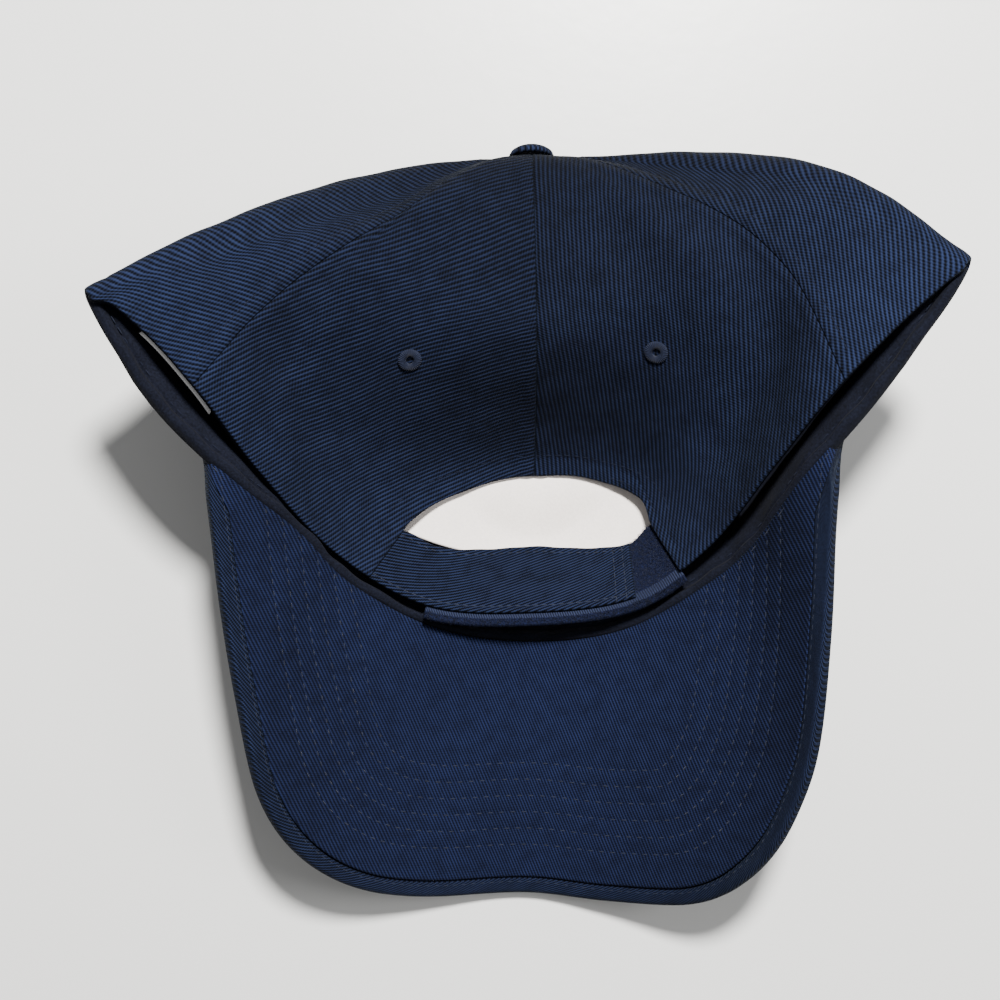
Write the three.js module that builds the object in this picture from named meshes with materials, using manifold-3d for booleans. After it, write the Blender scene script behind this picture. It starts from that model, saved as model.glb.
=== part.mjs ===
// A six-panel baseball cap that lies collapsed on its front, with the underside of its peak and
// the outside of its back panels facing up. Millimetres, +Z up, -Y towards the peak's front edge.
import * as THREE from "three";
import { mergeVertices } from "three/addons/utils/BufferGeometryUtils.js";
import Module from "manifold-3d";

const wasm = await Module();
wasm.setup();

// The collapsed crown as a whole.
const HALF_SPAN = 101; // from the centre line to the fold at an ear's tip
const CROWN_DEPTH = 120; // from the middle of the front rim to the button, seen from above
const EAR_RISE = 54; // height of an ear's fold above the table, at the rim
const FOLD_RADIUS = 2.3; // of the middle of the cloth, round the ear's fold at the rim
const BUTTON_HEIGHT = 20; // of the button's centre above the table
const BUTTON_DROOP = 12; // degrees that the button looks down from level

// Cloth and trim.
const CLOTH_WALL = 1.2;
const SEAM_GAP = 0.3; // between pieces that are sewn edge to edge
const LAYER_GAP = 0.4; // between pieces that lie on one another
const STIFFENER_WALL = 1;
const BAND_WALL = 1;
const BAND_WIDTH = 21;
const LABEL_WALL = 1;
const LABEL_WIDTH = 12;
const LABEL_OVERHANG = 0.6; // past the rim
const STRAP_WALL = 1.5;
const LOOP_WALL = 1.3;
const LOOP_OVERHANG = 3; // of the loop half past the outer half's lower edge

// Button and eyelets.
const BUTTON_RADIUS = 5.6;
const BUTTON_DOME = 3.2;
const RIVET_RADIUS = 2;
const EYELET_BORE = 1;
const EYELET_BARREL = 1.7;
const EYELET_RADIUS = 2.8;
const EYELET_BEAD = 0.8; // height above the cloth

// Peak.
const PEAK_HALF_WIDTH = 75; // from the centre line to the widest place of its edge
const PEAK_REACH = 66; // from the middle of its root to its front edge
const PEAK_SIDE_RISE = 42.2; // that the peak's curve gains from its centre line to its side
const PEAK_CENTRE = -3; // where the peak's own centre line runs
const PEAK_WALL = 2.6;
const PEAK_HEM = 4.2; // width of the cloth turned round the edge
const UNDER_WALL = 1;
const ROOT_DROP = 0.6; // of the board's middle below the rim's
const ROOT_GAP = 1; // between the rim and the peak's root, which meet at an angle

const CLOTH = { color: 0x1d2a3e, roughness: 0.92, metalness: 0 };
const PEAK_CLOTH = { color: 0x1b2846, roughness: 0.9, metalness: 0 };
const BUCKRAM = { color: 0xe8ded8, roughness: 0.95, metalness: 0 };
const BAND_COTTON = { color: 0x32323e, roughness: 0.9, metalness: 0 };
const THREAD = { color: 0x1a2437, roughness: 0.75, metalness: 0 };
const TAPE = { color: 0x161d2c, roughness: 1, metalness: 0 };
const LABEL_SATIN = { color: 0xeeeef0, roughness: 0.6, metalness: 0 };

// A place on the crown: out to the right, up the page and above the table, as shares of the
// crown's half span, depth and ear rise.
function at(out, up, rise) {
  return new THREE.Vector3(out * HALF_SPAN, up * CROWN_DEPTH, rise * EAR_RISE);
}

// The crown is a fan of lines from the rim to the button. turn counts round the rim in degrees:
// 0 at the middle of the back, 90 at the left, 180 at the middle of the front, -90 at the right.
// Each row gives three places of one line: on the rim, and one and two thirds of the way up.
const BACK_ROWS = [
  { turn: -75, rim: at(0.932, 0.714, 1.01), low: at(0.683, 0.878, 0.868), high: at(0.398, 0.947, 0.612) },
  { turn: -70, rim: at(0.855, 0.656, 0.988), low: at(0.65, 0.845, 0.862), high: at(0.385, 0.93, 0.638) },
  { turn: -60, rim: at(0.71, 0.53, 0.93), low: at(0.58, 0.76, 0.82), high: at(0.37, 0.9, 0.69) },
  { turn: -45, rim: at(0.57, 0.37, 0.72), low: at(0.54, 0.58, 0.7), high: at(0.36, 0.8, 0.74) },
  { turn: -30, rim: at(0.43, 0.2, 0.45), low: at(0.4, 0.42, 0.44), high: at(0.28, 0.73, 0.68) },
  { turn: -15, rim: at(0.25, 0.095, 0.34), low: at(0.22, 0.34, 0.16), high: at(0.14, 0.68, 0.61) },
  { turn: 0, rim: at(0, 0.065, 0.33), low: at(0.01, 0.35, 0.1), high: at(0.01, 0.66, 0.58) },
  { turn: 15, rim: at(-0.26, 0.08, 0.34), low: at(-0.2, 0.34, 0.16), high: at(-0.13, 0.67, 0.61) },
  { turn: 30, rim: at(-0.48, 0.19, 0.45), low: at(-0.44, 0.4, 0.44), high: at(-0.28, 0.72, 0.68) },
  { turn: 45, rim: at(-0.65, 0.36, 0.72), low: at(-0.57, 0.55, 0.7), high: at(-0.38, 0.79, 0.74) },
  { turn: 60, rim: at(-0.78, 0.52, 0.93), low: at(-0.58, 0.71, 0.82), high: at(-0.33, 0.86, 0.69) },
  { turn: 70, rim: at(-0.89, 0.624, 0.988), low: at(-0.66, 0.765, 0.862), high: at(-0.345, 0.885, 0.638) },
  { turn: 75, rim: at(-0.962, 0.674, 1.01), low: at(-0.7, 0.785, 0.868), high: at(-0.356, 0.902, 0.612) },
];
const FRONT_ROWS = [
  { turn: 100, rim: at(-0.9, 0.51, 0.87), low: at(-0.71, 0.745, 0.48), high: at(-0.37, 0.905, 0.22) },
  { turn: 120, rim: at(-0.71, 0.34, 0.76), low: at(-0.6, 0.57, 0.26), high: at(-0.31, 0.86, 0.06) },
  { turn: 135, rim: at(-0.58, 0.24, 0.56), low: at(-0.52, 0.48, 0.13), high: at(-0.26, 0.8, 0.02) },
  { turn: 150, rim: at(-0.46, 0.13, 0.38), low: at(-0.41, 0.39, 0.04), high: at(-0.21, 0.74, 0) },
  { turn: 165, rim: at(-0.24, 0.03, 0.22), low: at(-0.2, 0.35, 0), high: at(-0.1, 0.71, -0.03) },
  { turn: 180, rim: at(0.01, 0, 0.15), low: at(0.01, 0.34, -0.04), high: at(0, 0.7, -0.04) },
  { turn: 195, rim: at(0.25, 0.03, 0.22), low: at(0.22, 0.35, 0), high: at(0.12, 0.71, -0.03) },
  { turn: 210, rim: at(0.47, 0.14, 0.38), low: at(0.43, 0.4, 0.04), high: at(0.23, 0.74, 0) },
  { turn: 240, rim: at(0.67, 0.37, 0.76), low: at(0.6, 0.61, 0.26), high: at(0.33, 0.86, 0.06) },
  { turn: 260, rim: at(0.83, 0.54, 0.87), low: at(0.71, 0.81, 0.48), high: at(0.43, 0.93, 0.22) },
];
// The middle of each ear's fold, with its radius as multiples of the one at the rim.
const FOLDS = [
  { turn: 82, rim: at(-1.01, 0.68, 0.98), low: at(-0.73, 0.81, 0.8), high: at(-0.38, 0.92, 0.5) },
  { turn: 278, rim: at(0.98, 0.74, 0.98), low: at(0.71, 0.91, 0.8), high: at(0.42, 0.965, 0.5) },
];
const FOLD_GROWTH = { rim: 1, low: 1.4, high: 2.2 };
const FOLD_HALF_TURN = 4;
const FOLD_STEPS = 6;

// The opening over the strap, as the back panels' lower edges: turn and share of the way up to
// the button. The last row of each is where the strap's seam reaches the rim.
const OPENING_LEFT = [
  { turn: 0, climb: 0.335 },
  { turn: 8, climb: 0.33 },
  { turn: 13.5, climb: 0.305 },
  { turn: 17, climb: 0.27 },
  { turn: 19.5, climb: 0.22 },
  { turn: 20.7, climb: 0.175 },
  { turn: 24.2, climb: 0 },
];
const OPENING_RIGHT = [
  { turn: 0, climb: 0.335 },
  { turn: -8, climb: 0.345 },
  { turn: -14, climb: 0.326 },
  { turn: -17.8, climb: 0.288 },
  { turn: -19.4, climb: 0.25 },
  { turn: -19.9, climb: 0.19 },
  { turn: -24.2, climb: 0 },
];
const STRAP_CLIMB = 0.16; // share of the way up that the strap's upper edge reaches
const OUTER_STRAP_END = -15.6; // turn where the outer half of the strap ends
const LOOP_STRAP_END = 15;
const LABEL_TURNS = [55, 70]; // where the label's two ends are sewn in

// Panels run from seam to seam, in this many columns and rows of faces.
const PANEL_TURN = 360 / 6;
const seamTurn = (count) => count * PANEL_TURN; // counted from the middle of the back
const PANEL_ACROSS = 12;
const PANEL_UP = 14;

const BUTTON_AXIS = new THREE.Vector3(0, 1, 0).applyAxisAngle(
  new THREE.Vector3(1, 0, 0),
  -THREE.MathUtils.degToRad(BUTTON_DROOP),
);
const BUTTON_ROOT = new THREE.Vector3(0, CROWN_DEPTH, BUTTON_HEIGHT);
const CROWN_HOLE = RIVET_RADIUS + SEAM_GAP;

// A cubic between two knots, each with its place along the track, its point and its slope.
function between(a, b, place) {
  const length = b.place - a.place;
  const t = (place - a.place) / length;
  const t2 = t * t;
  const t3 = t2 * t;
  return new THREE.Vector3()
    .addScaledVector(a.point, 2 * t3 - 3 * t2 + 1)
    .addScaledVector(a.slope, (t3 - 2 * t2 + t) * length)
    .addScaledVector(b.point, 3 * t2 - 2 * t3)
    .addScaledVector(b.slope, (t3 - t2) * length);
}

function follow(knots, place) {
  let i = 1;
  while (i < knots.length - 1 && place > knots[i].place) i += 1;
  return between(knots[i - 1], knots[i], place);
}

// Gives each inner knot the slope of a smooth curve through its neighbours.
function smoothSlopes(knots) {
  for (let i = 1; i < knots.length - 1; i += 1) {
    const [a, b, c] = [knots[i - 1], knots[i], knots[i + 1]];
    const before = b.point.clone().sub(a.point).divideScalar(b.place - a.place);
    const after = c.point.clone().sub(b.point).divideScalar(c.place - b.place);
    b.slope = before.lerp(after, (b.place - a.place) / (c.place - a.place));
  }
  return knots;
}

// Directions across one ear's fold in one column: level out of the ear, and over from front to
// back.
function foldFrame(fold, column, backRow, frontRow) {
  const along = fold.high.clone().sub(fold.rim).normalize();
  const inward = backRow[column].clone().add(frontRow[column]).divideScalar(2).sub(fold[column]);
  inward.z = 0;
  const out = inward.addScaledVector(along, -inward.dot(along)).normalize().negate();
  const over = new THREE.Vector3().crossVectors(along, out).normalize();
  if (over.dot(backRow[column].clone().sub(frontRow[column])) < 0) over.negate();
  const radius = FOLD_RADIUS * FOLD_GROWTH[column];
  return { centre: fold[column], out, over, radius };
}

function edgeKnot(place, frame, side, neighbour, direction) {
  const point = frame.centre.clone().addScaledVector(frame.over, side * frame.radius);
  const speed = point.distanceTo(neighbour.point) / Math.abs(place - neighbour.place);
  return { place, point, slope: frame.out.clone().multiplyScalar(direction * speed) };
}

// The whole way round in one column: back sheet, left fold, front sheet, right fold.
function columnTracks(column) {
  const knot = (row) => ({ place: row.turn, point: row[column] });
  const [leftFold, rightFold] = FOLDS;
  const left = foldFrame(leftFold, column, BACK_ROWS.at(-1), FRONT_ROWS[0]);
  const right = foldFrame(rightFold, column, BACK_ROWS[0], FRONT_ROWS.at(-1));
  const back = BACK_ROWS.map(knot);
  const front = FRONT_ROWS.map(knot);
  const backEnd = leftFold.turn - FOLD_HALF_TURN;
  const frontStart = leftFold.turn + FOLD_HALF_TURN;
  const frontEnd = rightFold.turn - FOLD_HALF_TURN;
  const backStart = rightFold.turn + FOLD_HALF_TURN - 360;
  back.unshift(edgeKnot(backStart, right, 1, back[0], -1));
  back.push(edgeKnot(backEnd, left, 1, back.at(-1), 1));
  front.unshift(edgeKnot(frontStart, left, -1, front[0], -1));
  front.push(edgeKnot(frontEnd, right, -1, front.at(-1), 1));
  return { left, right, back: smoothSlopes(back), front: smoothSlopes(front) };
}

const COLUMNS = ["rim", "low", "high"];
const TRACKS = Object.fromEntries(COLUMNS.map((column) => [column, columnTracks(column)]));

function roundFold(frame, angle) {
  return frame.centre
    .clone()
    .addScaledVector(frame.out, frame.radius * Math.cos(angle))
    .addScaledVector(frame.over, frame.radius * Math.sin(angle));
}

function columnPoint(column, turn) {
  const { left, right, back, front } = TRACKS[column];
  const round = THREE.MathUtils.euclideanModulo(turn + 180, 360) - 180;
  const positive = THREE.MathUtils.euclideanModulo(turn, 360);
  const fromLeft = (positive - FOLDS[0].turn) / FOLD_HALF_TURN;
  const fromRight = (positive - FOLDS[1].turn) / FOLD_HALF_TURN;
  if (Math.abs(fromLeft) < 1) return roundFold(left, (-fromLeft * Math.PI) / 2);
  if (Math.abs(fromRight) < 1) return roundFold(right, (fromRight * Math.PI) / 2);
  if (fromLeft >= 1 && fromRight <= -1) return follow(front, positive);
  return follow(back, round);
}

// Away from the button's middle, square to its axis, at one turn.
function buttonSpoke(turn) {
  return new THREE.Vector3(0, 0, 1)
    .addScaledVector(BUTTON_AXIS, -BUTTON_AXIS.z)
    .normalize()
    .applyAxisAngle(BUTTON_AXIS, -THREE.MathUtils.degToRad(turn));
}

const TOP_PULL = 1; // how far the lines run level under the button, against a third of the depth

// The middle of the crown's cloth. climb is 0 on the rim and 1 at the button, and below 0 it
// runs straight on past the rim.
function crownPoint(turn, climb) {
  const [rim, low, high] = COLUMNS.map((column) => columnPoint(column, turn));
  const spoke = buttonSpoke(turn);
  const top = BUTTON_ROOT.clone().addScaledVector(spoke, CROWN_HOLE);
  const step = 1 / 3;
  const knots = smoothSlopes([
    { place: 0, point: rim },
    { place: step, point: low },
    { place: 2 * step, point: high },
    { place: 1, point: top, slope: spoke.multiplyScalar(-TOP_PULL * CROWN_DEPTH) },
  ]);
  const start = low.clone().sub(rim).multiplyScalar(1.15 / step);
  knots[0].slope = start.addScaledVector(high.clone().sub(low), -0.15 / step);
  const point =
    climb < 0
      ? rim.clone().addScaledVector(knots[0].slope, climb)
      : follow(knots, climb);
  point.z = Math.max(point.z, CLOTH_WALL / 2);
  return point;
}

const TURN_STEP = 0.25;
const CLIMB_STEP = 0.004;

// The crown's own directions at a place: along the rim, up to the button, and out of the cloth.
function crownFrame(turn, climb) {
  const high = Math.min(climb + CLIMB_STEP, 1);
  const point = crownPoint(turn, climb);
  const across = crownPoint(turn + TURN_STEP, climb).sub(crownPoint(turn - TURN_STEP, climb));
  const upward = crownPoint(turn, high).sub(crownPoint(turn, high - 2 * CLIMB_STEP));
  const normal = new THREE.Vector3().crossVectors(upward, across).normalize();
  return { point, across: across.normalize(), upward: upward.normalize(), normal };
}

// A closed solid over a grid of pairs of points, one on each of its two faces.
function slab(columns, rows, pairAt) {
  const faces = [[], []];
  for (let i = 0; i <= columns; i += 1) {
    for (let j = 0; j <= rows; j += 1) {
      pairAt(i, j).forEach((point, face) => faces[face].push(point));
    }
  }
  const count = (columns + 1) * (rows + 1);
  const index = [];
  const quad = (a, b, c, d) => index.push(a, b, c, a, c, d);
  const id = (i, j, face) => face * count + i * (rows + 1) + j;
  for (let i = 0; i < columns; i += 1) {
    for (let j = 0; j < rows; j += 1) {
      quad(id(i, j, 0), id(i + 1, j, 0), id(i + 1, j + 1, 0), id(i, j + 1, 0));
      quad(id(i, j, 1), id(i, j + 1, 1), id(i + 1, j + 1, 1), id(i + 1, j, 1));
    }
  }
  for (let i = 0; i < columns; i += 1) {
    quad(id(i, 0, 1), id(i + 1, 0, 1), id(i + 1, 0, 0), id(i, 0, 0));
    quad(id(i, rows, 0), id(i + 1, rows, 0), id(i + 1, rows, 1), id(i, rows, 1));
  }
  for (let j = 0; j < rows; j += 1) {
    quad(id(0, j, 0), id(0, j + 1, 0), id(0, j + 1, 1), id(0, j, 1));
    quad(id(columns, j, 1), id(columns, j + 1, 1), id(columns, j + 1, 0), id(columns, j, 0));
  }
  return facingOut([...faces[0], ...faces[1]], index);
}

// An indexed geometry, turned round if its faces point inwards.
function facingOut(points, index) {
  let volume = 0;
  const face = new THREE.Vector3();
  for (let k = 0; k < index.length; k += 3) {
    const [a, b, c] = index.slice(k, k + 3).map((n) => points[n]);
    volume += face.crossVectors(b, c).dot(a);
  }
  const facing = volume < 0 ? index.reverse() : index;
  const geometry = new THREE.BufferGeometry().setFromPoints(points);
  return geometry.setIndex(facing);
}

function named(name, geometry, look) {
  const mesh = new THREE.Mesh(geometry, new THREE.MeshStandardMaterial(look));
  mesh.name = name;
  return mesh;
}

// The turns that a piece's columns stand at, closer together round an ear's fold.
function turnsBetween(start, end, steps) {
  const turns = Array.from({ length: steps + 1 }, (_, i) => start + ((end - start) * i) / steps);
  for (const { turn } of FOLDS) {
    const inside = (place) => Math.abs(place - turn) <= FOLD_HALF_TURN + 1.5;
    if (turn < start || turn > end) continue;
    const open = turns.filter((place) => !inside(place));
    const round = Array.from(
      { length: FOLD_STEPS + 1 },
      (_, i) => turn + FOLD_HALF_TURN * ((2 * i) / FOLD_STEPS - 1),
    );
    turns.splice(0, turns.length, ...open, ...round);
    turns.sort((a, b) => a - b);
  }
  return turns;
}

// Two faces of a layer at given depths below the crown's outer face, drawn in at its seams.
function layerPair(turn, climb, top, bottom, seamSide) {
  const { point, across, normal } = crownFrame(turn, climb);
  point.addScaledVector(across, (seamSide * SEAM_GAP) / 2);
  const middle = CLOTH_WALL / 2;
  return [top, bottom].map((depth) => point.clone().addScaledVector(normal, middle - depth));
}

// One panel of the crown. baseAt gives its lower edge from 0 at its first seam to 1 at the next.
function panel(start, end, baseAt) {
  const turns = turnsBetween(start, end, PANEL_ACROSS);
  const last = turns.length - 1;
  return slab(last, PANEL_UP, (i, j) => {
    const share = (turns[i] - start) / (end - start);
    const base = baseAt ? baseAt(share) : { turn: turns[i], climb: 0 };
    const up = j / PANEL_UP;
    const turn = THREE.MathUtils.lerp(base.turn, turns[i], up);
    const climb = THREE.MathUtils.lerp(base.climb, 1, up);
    const seamSide = i === 0 ? 1 : i === last ? -1 : 0;
    return layerPair(turn, climb, 0, CLOTH_WALL, seamSide);
  });
}

// The lower edge of a back panel: round the opening and down the strap's seam, then the rim.
function backEdge(opening, seamTurn, share) {
  const arched = (opening.length - 1) / PANEL_ACROSS;
  if (share >= arched) {
    const rest = (share - arched) / (1 - arched);
    return { turn: THREE.MathUtils.lerp(opening.at(-1).turn, seamTurn, rest), climb: 0 };
  }
  const place = share * PANEL_ACROSS;
  const i = Math.floor(place + 1e-6);
  const [a, b] = [opening[i], opening[i + 1]];
  return {
    turn: THREE.MathUtils.lerp(a.turn, b.turn, place - i),
    climb: THREE.MathUtils.lerp(a.climb, b.climb, place - i),
  };
}

// Share of the way up at which a line has run a given length from the rim.
function climbAt(turn, length) {
  const steps = 60;
  let run = 0;
  let last = crownPoint(turn, 0);
  for (let i = 1; i <= steps; i += 1) {
    const next = crownPoint(turn, i / steps);
    const piece = next.distanceTo(last);
    if (run + piece >= length) return (i - 1 + (length - run) / piece) / steps;
    run += piece;
    last = next;
  }
  return 1;
}

// A layer that follows the crown between two turns and two shares of the way up. Its lines cross
// the panels' own, so that the cloths bend at the same places.
function layer(turns, climbs, top, bottom) {
  const rows = climbs(turns[0]).length - 1;
  return slab(turns.length - 1, rows, (i, j) =>
    layerPair(turns[i], climbs(turns[i])[j], top, bottom, 0),
  );
}

const liningTop = CLOTH_WALL + LAYER_GAP;
const LINING_STEP = PANEL_TURN / PANEL_ACROSS;

// The stiff backing of the two front panels, between the sweatband and the button.
function stiffener() {
  const [start, end] = [seamTurn(2) + LINING_STEP, seamTurn(4) - LINING_STEP];
  const lowest = (turn) => climbAt(turn, BAND_WIDTH + SEAM_GAP);
  const inner = Array.from({ length: PANEL_UP - 3 }, (_, k) => (k + 3) / PANEL_UP);
  return layer(
    turnsBetween(start, end, (end - start) / LINING_STEP),
    (turn) => [lowest(turn), ...inner],
    liningTop,
    liningTop + STIFFENER_WALL,
  );
}

// The sweatband runs round the front from one end of the strap to the other. Behind the side
// panels its lines stand where the back panels' lines meet the rim.
function sweatband() {
  const strapTurn = OPENING_LEFT.at(-1).turn;
  const backSteps = PANEL_ACROSS - OPENING_LEFT.length + 1;
  const backStep = (PANEL_TURN - strapTurn) / backSteps;
  const back = Array.from({ length: backSteps - 2 }, (_, k) => strapTurn + (k + 2) * backStep);
  const round = turnsBetween(seamTurn(1), seamTurn(5), 4 * PANEL_ACROSS);
  const turns = [...back, ...round, ...back.toReversed().map((turn) => 360 - turn)];
  return layer(
    turns,
    (turn) => [0, 1 / PANEL_UP, 2 / PANEL_UP, climbAt(turn, BAND_WIDTH)],
    liningTop,
    liningTop + BAND_WALL,
  );
}

function label() {
  const top = liningTop + BAND_WALL + LAYER_GAP;
  return layer(
    turnsBetween(...LABEL_TURNS, 6),
    (turn) => [-climbAt(turn, LABEL_OVERHANG), 0, climbAt(turn, LABEL_WIDTH)],
    top,
    top + LABEL_WALL,
  );
}

const STRAP_STEPS = 16;

// One half of the back strap, from its sewn end to its free end, at a depth under the crown's
// outer face. Its sewn end follows the opening's edge.
function strap(opening, freeTurn, overhang, top, wall) {
  const [seam, corner] = opening.slice(-2);
  const side = Math.sign(corner.turn);
  const slope = (corner.turn - seam.turn) / seam.climb;
  return slab(STRAP_STEPS, 3, (i, j) => {
    const share = i / STRAP_STEPS;
    const turn = THREE.MathUtils.lerp(corner.turn, freeTurn, share);
    const low = overhang > 0 ? -climbAt(turn, overhang) : 0;
    const climb = THREE.MathUtils.lerp(low, STRAP_CLIMB, j / 3);
    const slant = slope * climb * (1 - share);
    return layerPair(turn - slant, climb, top, top + wall, i === 0 ? -side * 2 : 0);
  });
}

// The peak's edge as seen from above, from where it leaves the crown at the left, round the
// front and back at the right: out from its own centre line and forward of its root, as shares
// of its half width and reach.
const PEAK_EDGE = [
  { out: -1, forward: -0.69 },
  { out: -0.98, forward: -0.47 },
  { out: -0.95, forward: -0.15 },
  { out: -0.91, forward: 0.17 },
  { out: -0.85, forward: 0.53 },
  { out: -0.79, forward: 0.69 },
  { out: -0.72, forward: 0.8 },
  { out: -0.63, forward: 0.89 },
  { out: -0.52, forward: 0.955 },
  { out: -0.4, forward: 0.99 },
  { out: -0.27, forward: 1.005 },
  { out: 0.04, forward: 1 },
  { out: 0.31, forward: 1.02 },
  { out: 0.57, forward: 1 },
  { out: 0.68, forward: 0.945 },
  { out: 0.77, forward: 0.85 },
  { out: 0.84, forward: 0.73 },
  { out: 0.9, forward: 0.56 },
  { out: 0.94, forward: 0.38 },
  { out: 0.975, forward: -0.05 },
  { out: 0.99, forward: -0.47 },
  { out: 1, forward: -0.71 },
];
const PEAK_TURNS = [113, 247]; // where the peak's root ends on the rim
const PEAK_ACROSS = 34;
const PEAK_ALONG = 7;

const peakEdge = new THREE.CatmullRomCurve3(
  PEAK_EDGE.map(
    ({ out, forward }) =>
      new THREE.Vector3(PEAK_CENTRE + out * PEAK_HALF_WIDTH, -forward * PEAK_REACH, 0),
  ),
  false,
  "centripetal",
);

// The middle of the peak at a share across and a share of the way from its root to its edge.
function peakPoint(across, along) {
  const turn = THREE.MathUtils.lerp(...PEAK_TURNS, across);
  const { point, upward } = crownFrame(turn, 0);
  const root = point.addScaledVector(upward.setZ(0).normalize(), -ROOT_GAP);
  const edge = peakEdge.getPointAt(THREE.MathUtils.clamp(across, 0, 1));
  const place = root.clone().lerp(edge, along);
  const curl = (x) => PEAK_SIDE_RISE * ((x - PEAK_CENTRE) / PEAK_HALF_WIDTH) ** 2;
  const lift = root.z - ROOT_DROP - curl(root.x);
  place.z = curl(place.x) + lift * (1 - along) + (PEAK_WALL / 2) * along;
  return place;
}

function peakFrame(across, along) {
  const [step, low] = [0.002, Math.min(Math.max(across, 0.002), 0.998)];
  const point = peakPoint(across, along);
  const sideways = peakPoint(low + step, along).sub(peakPoint(low - step, along));
  const [near, far] = [Math.max(along - 0.02, 0), Math.min(along + 0.02, 1)];
  const forward = peakPoint(across, far).sub(peakPoint(across, near));
  const normal = new THREE.Vector3().crossVectors(forward, sideways).normalize();
  const slant = forward.angleTo(sideways);
  const reach = peakPoint(across, 0).distanceTo(peakPoint(across, 1));
  return { point, normal, reach, slant };
}

// Where the turned hem begins on the line at a share across.
function hemStart(across) {
  const { reach, slant } = peakFrame(across, 1);
  return 1 - Math.min(0.6, PEAK_HEM / (reach * Math.sin(slant)));
}

// The board in its top cloth, whose hem stands up round the underside cloth.
function peak() {
  const hemStep = 0.01;
  const rows = PEAK_ALONG + 3;
  return slab(PEAK_ACROSS, rows, (i, j) => {
    const across = i / PEAK_ACROSS;
    const hem = hemStart(across);
    const hemmed = j > PEAK_ALONG;
    const along = hemmed
      ? THREE.MathUtils.lerp(hem + hemStep, 1, (j - PEAK_ALONG - 1) / 2)
      : (hem * j) / PEAK_ALONG;
    const { point, normal } = peakFrame(across, along);
    const rise = hemmed ? LAYER_GAP + UNDER_WALL : 0;
    return [PEAK_WALL / 2 + rise, -PEAK_WALL / 2].map((height) =>
      point.clone().addScaledVector(normal, height),
    );
  });
}

function peakUnder() {
  const low = PEAK_WALL / 2 + LAYER_GAP;
  return slab(PEAK_ACROSS, PEAK_ALONG, (i, j) => {
    const across = i / PEAK_ACROSS;
    const { reach } = peakFrame(across, 0.5);
    const end = hemStart(across) - SEAM_GAP / reach;
    const { point, normal } = peakFrame(across, (end * j) / PEAK_ALONG);
    return [low + UNDER_WALL, low].map((height) => point.clone().addScaledVector(normal, height));
  });
}

// A closed solid of revolution about +Z. The profile runs from pole to pole, or round a ring.
function turned(profile, segments, ring) {
  const points = [];
  const starts = profile.map(([radius, height]) => {
    const first = points.length;
    const copies = radius === 0 ? 1 : segments;
    for (let k = 0; k < copies; k += 1) {
      const angle = (2 * Math.PI * k) / segments;
      points.push(new THREE.Vector3(radius * Math.cos(angle), radius * Math.sin(angle), height));
    }
    return { first, copies };
  });
  const index = [];
  const vertex = ({ first, copies }, k) => first + (k % copies);
  const bands = ring ? profile.length : profile.length - 1;
  for (let n = 0; n < bands; n += 1) {
    const [a, b] = [starts[n], starts[(n + 1) % profile.length]];
    for (let k = 0; k < segments; k += 1) {
      if (b.copies > 1) index.push(vertex(a, k), vertex(b, k + 1), vertex(b, k));
      if (a.copies > 1) index.push(vertex(a, k), vertex(a, k + 1), vertex(b, k + 1));
    }
  }
  return facingOut(points, index);
}

const BUTTON_STEPS = 5;

function button() {
  const seat = CLOTH_WALL / 2 + LAYER_GAP;
  const dome = Array.from({ length: BUTTON_STEPS + 1 }, (_, k) => {
    const angle = ((Math.PI / 2) * k) / BUTTON_STEPS;
    const radius = k === BUTTON_STEPS ? 0 : BUTTON_RADIUS * Math.cos(angle);
    return [radius, seat + BUTTON_DOME * (0.2 + 0.8 * Math.sin(angle))];
  });
  const profile = [
    [0, -CLOTH_WALL],
    [RIVET_RADIUS, -CLOTH_WALL],
    [RIVET_RADIUS, seat],
    [BUTTON_RADIUS * 0.97, seat],
    ...dome,
  ];
  return turned(profile, 24, false);
}

// The eyelets, by where they sit on the back panels.
const EYELETS = [
  { name: "eyelet_back_left", turn: 25.4, climb: 0.55 },
  { name: "eyelet_back_right", turn: -26, climb: 0.55 },
];

function eyelet() {
  const seat = CLOTH_WALL / 2 + LAYER_GAP;
  return turned(
    [
      [EYELET_BORE, -CLOTH_WALL / 2],
      [EYELET_BARREL, -CLOTH_WALL / 2],
      [EYELET_BARREL, seat],
      [EYELET_RADIUS, seat],
      [EYELET_RADIUS - 0.3, seat + EYELET_BEAD],
      [EYELET_BORE + 0.3, seat + EYELET_BEAD],
      [EYELET_BORE, seat],
    ],
    16,
    true,
  );
}

// Turns a mesh whose own +Z is its axis to stand on the crown or the button's root.
function stand(mesh, place, axis) {
  mesh.position.copy(place);
  mesh.quaternion.setFromUnitVectors(new THREE.Vector3(0, 0, 1), axis);
  return mesh;
}

function solidOf(geometry) {
  return new wasm.Manifold(
    new wasm.Mesh({
      numProp: 3,
      vertProperties: geometry.getAttribute("position").array,
      triVerts: new Uint32Array(geometry.index.array),
    }),
  );
}

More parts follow.
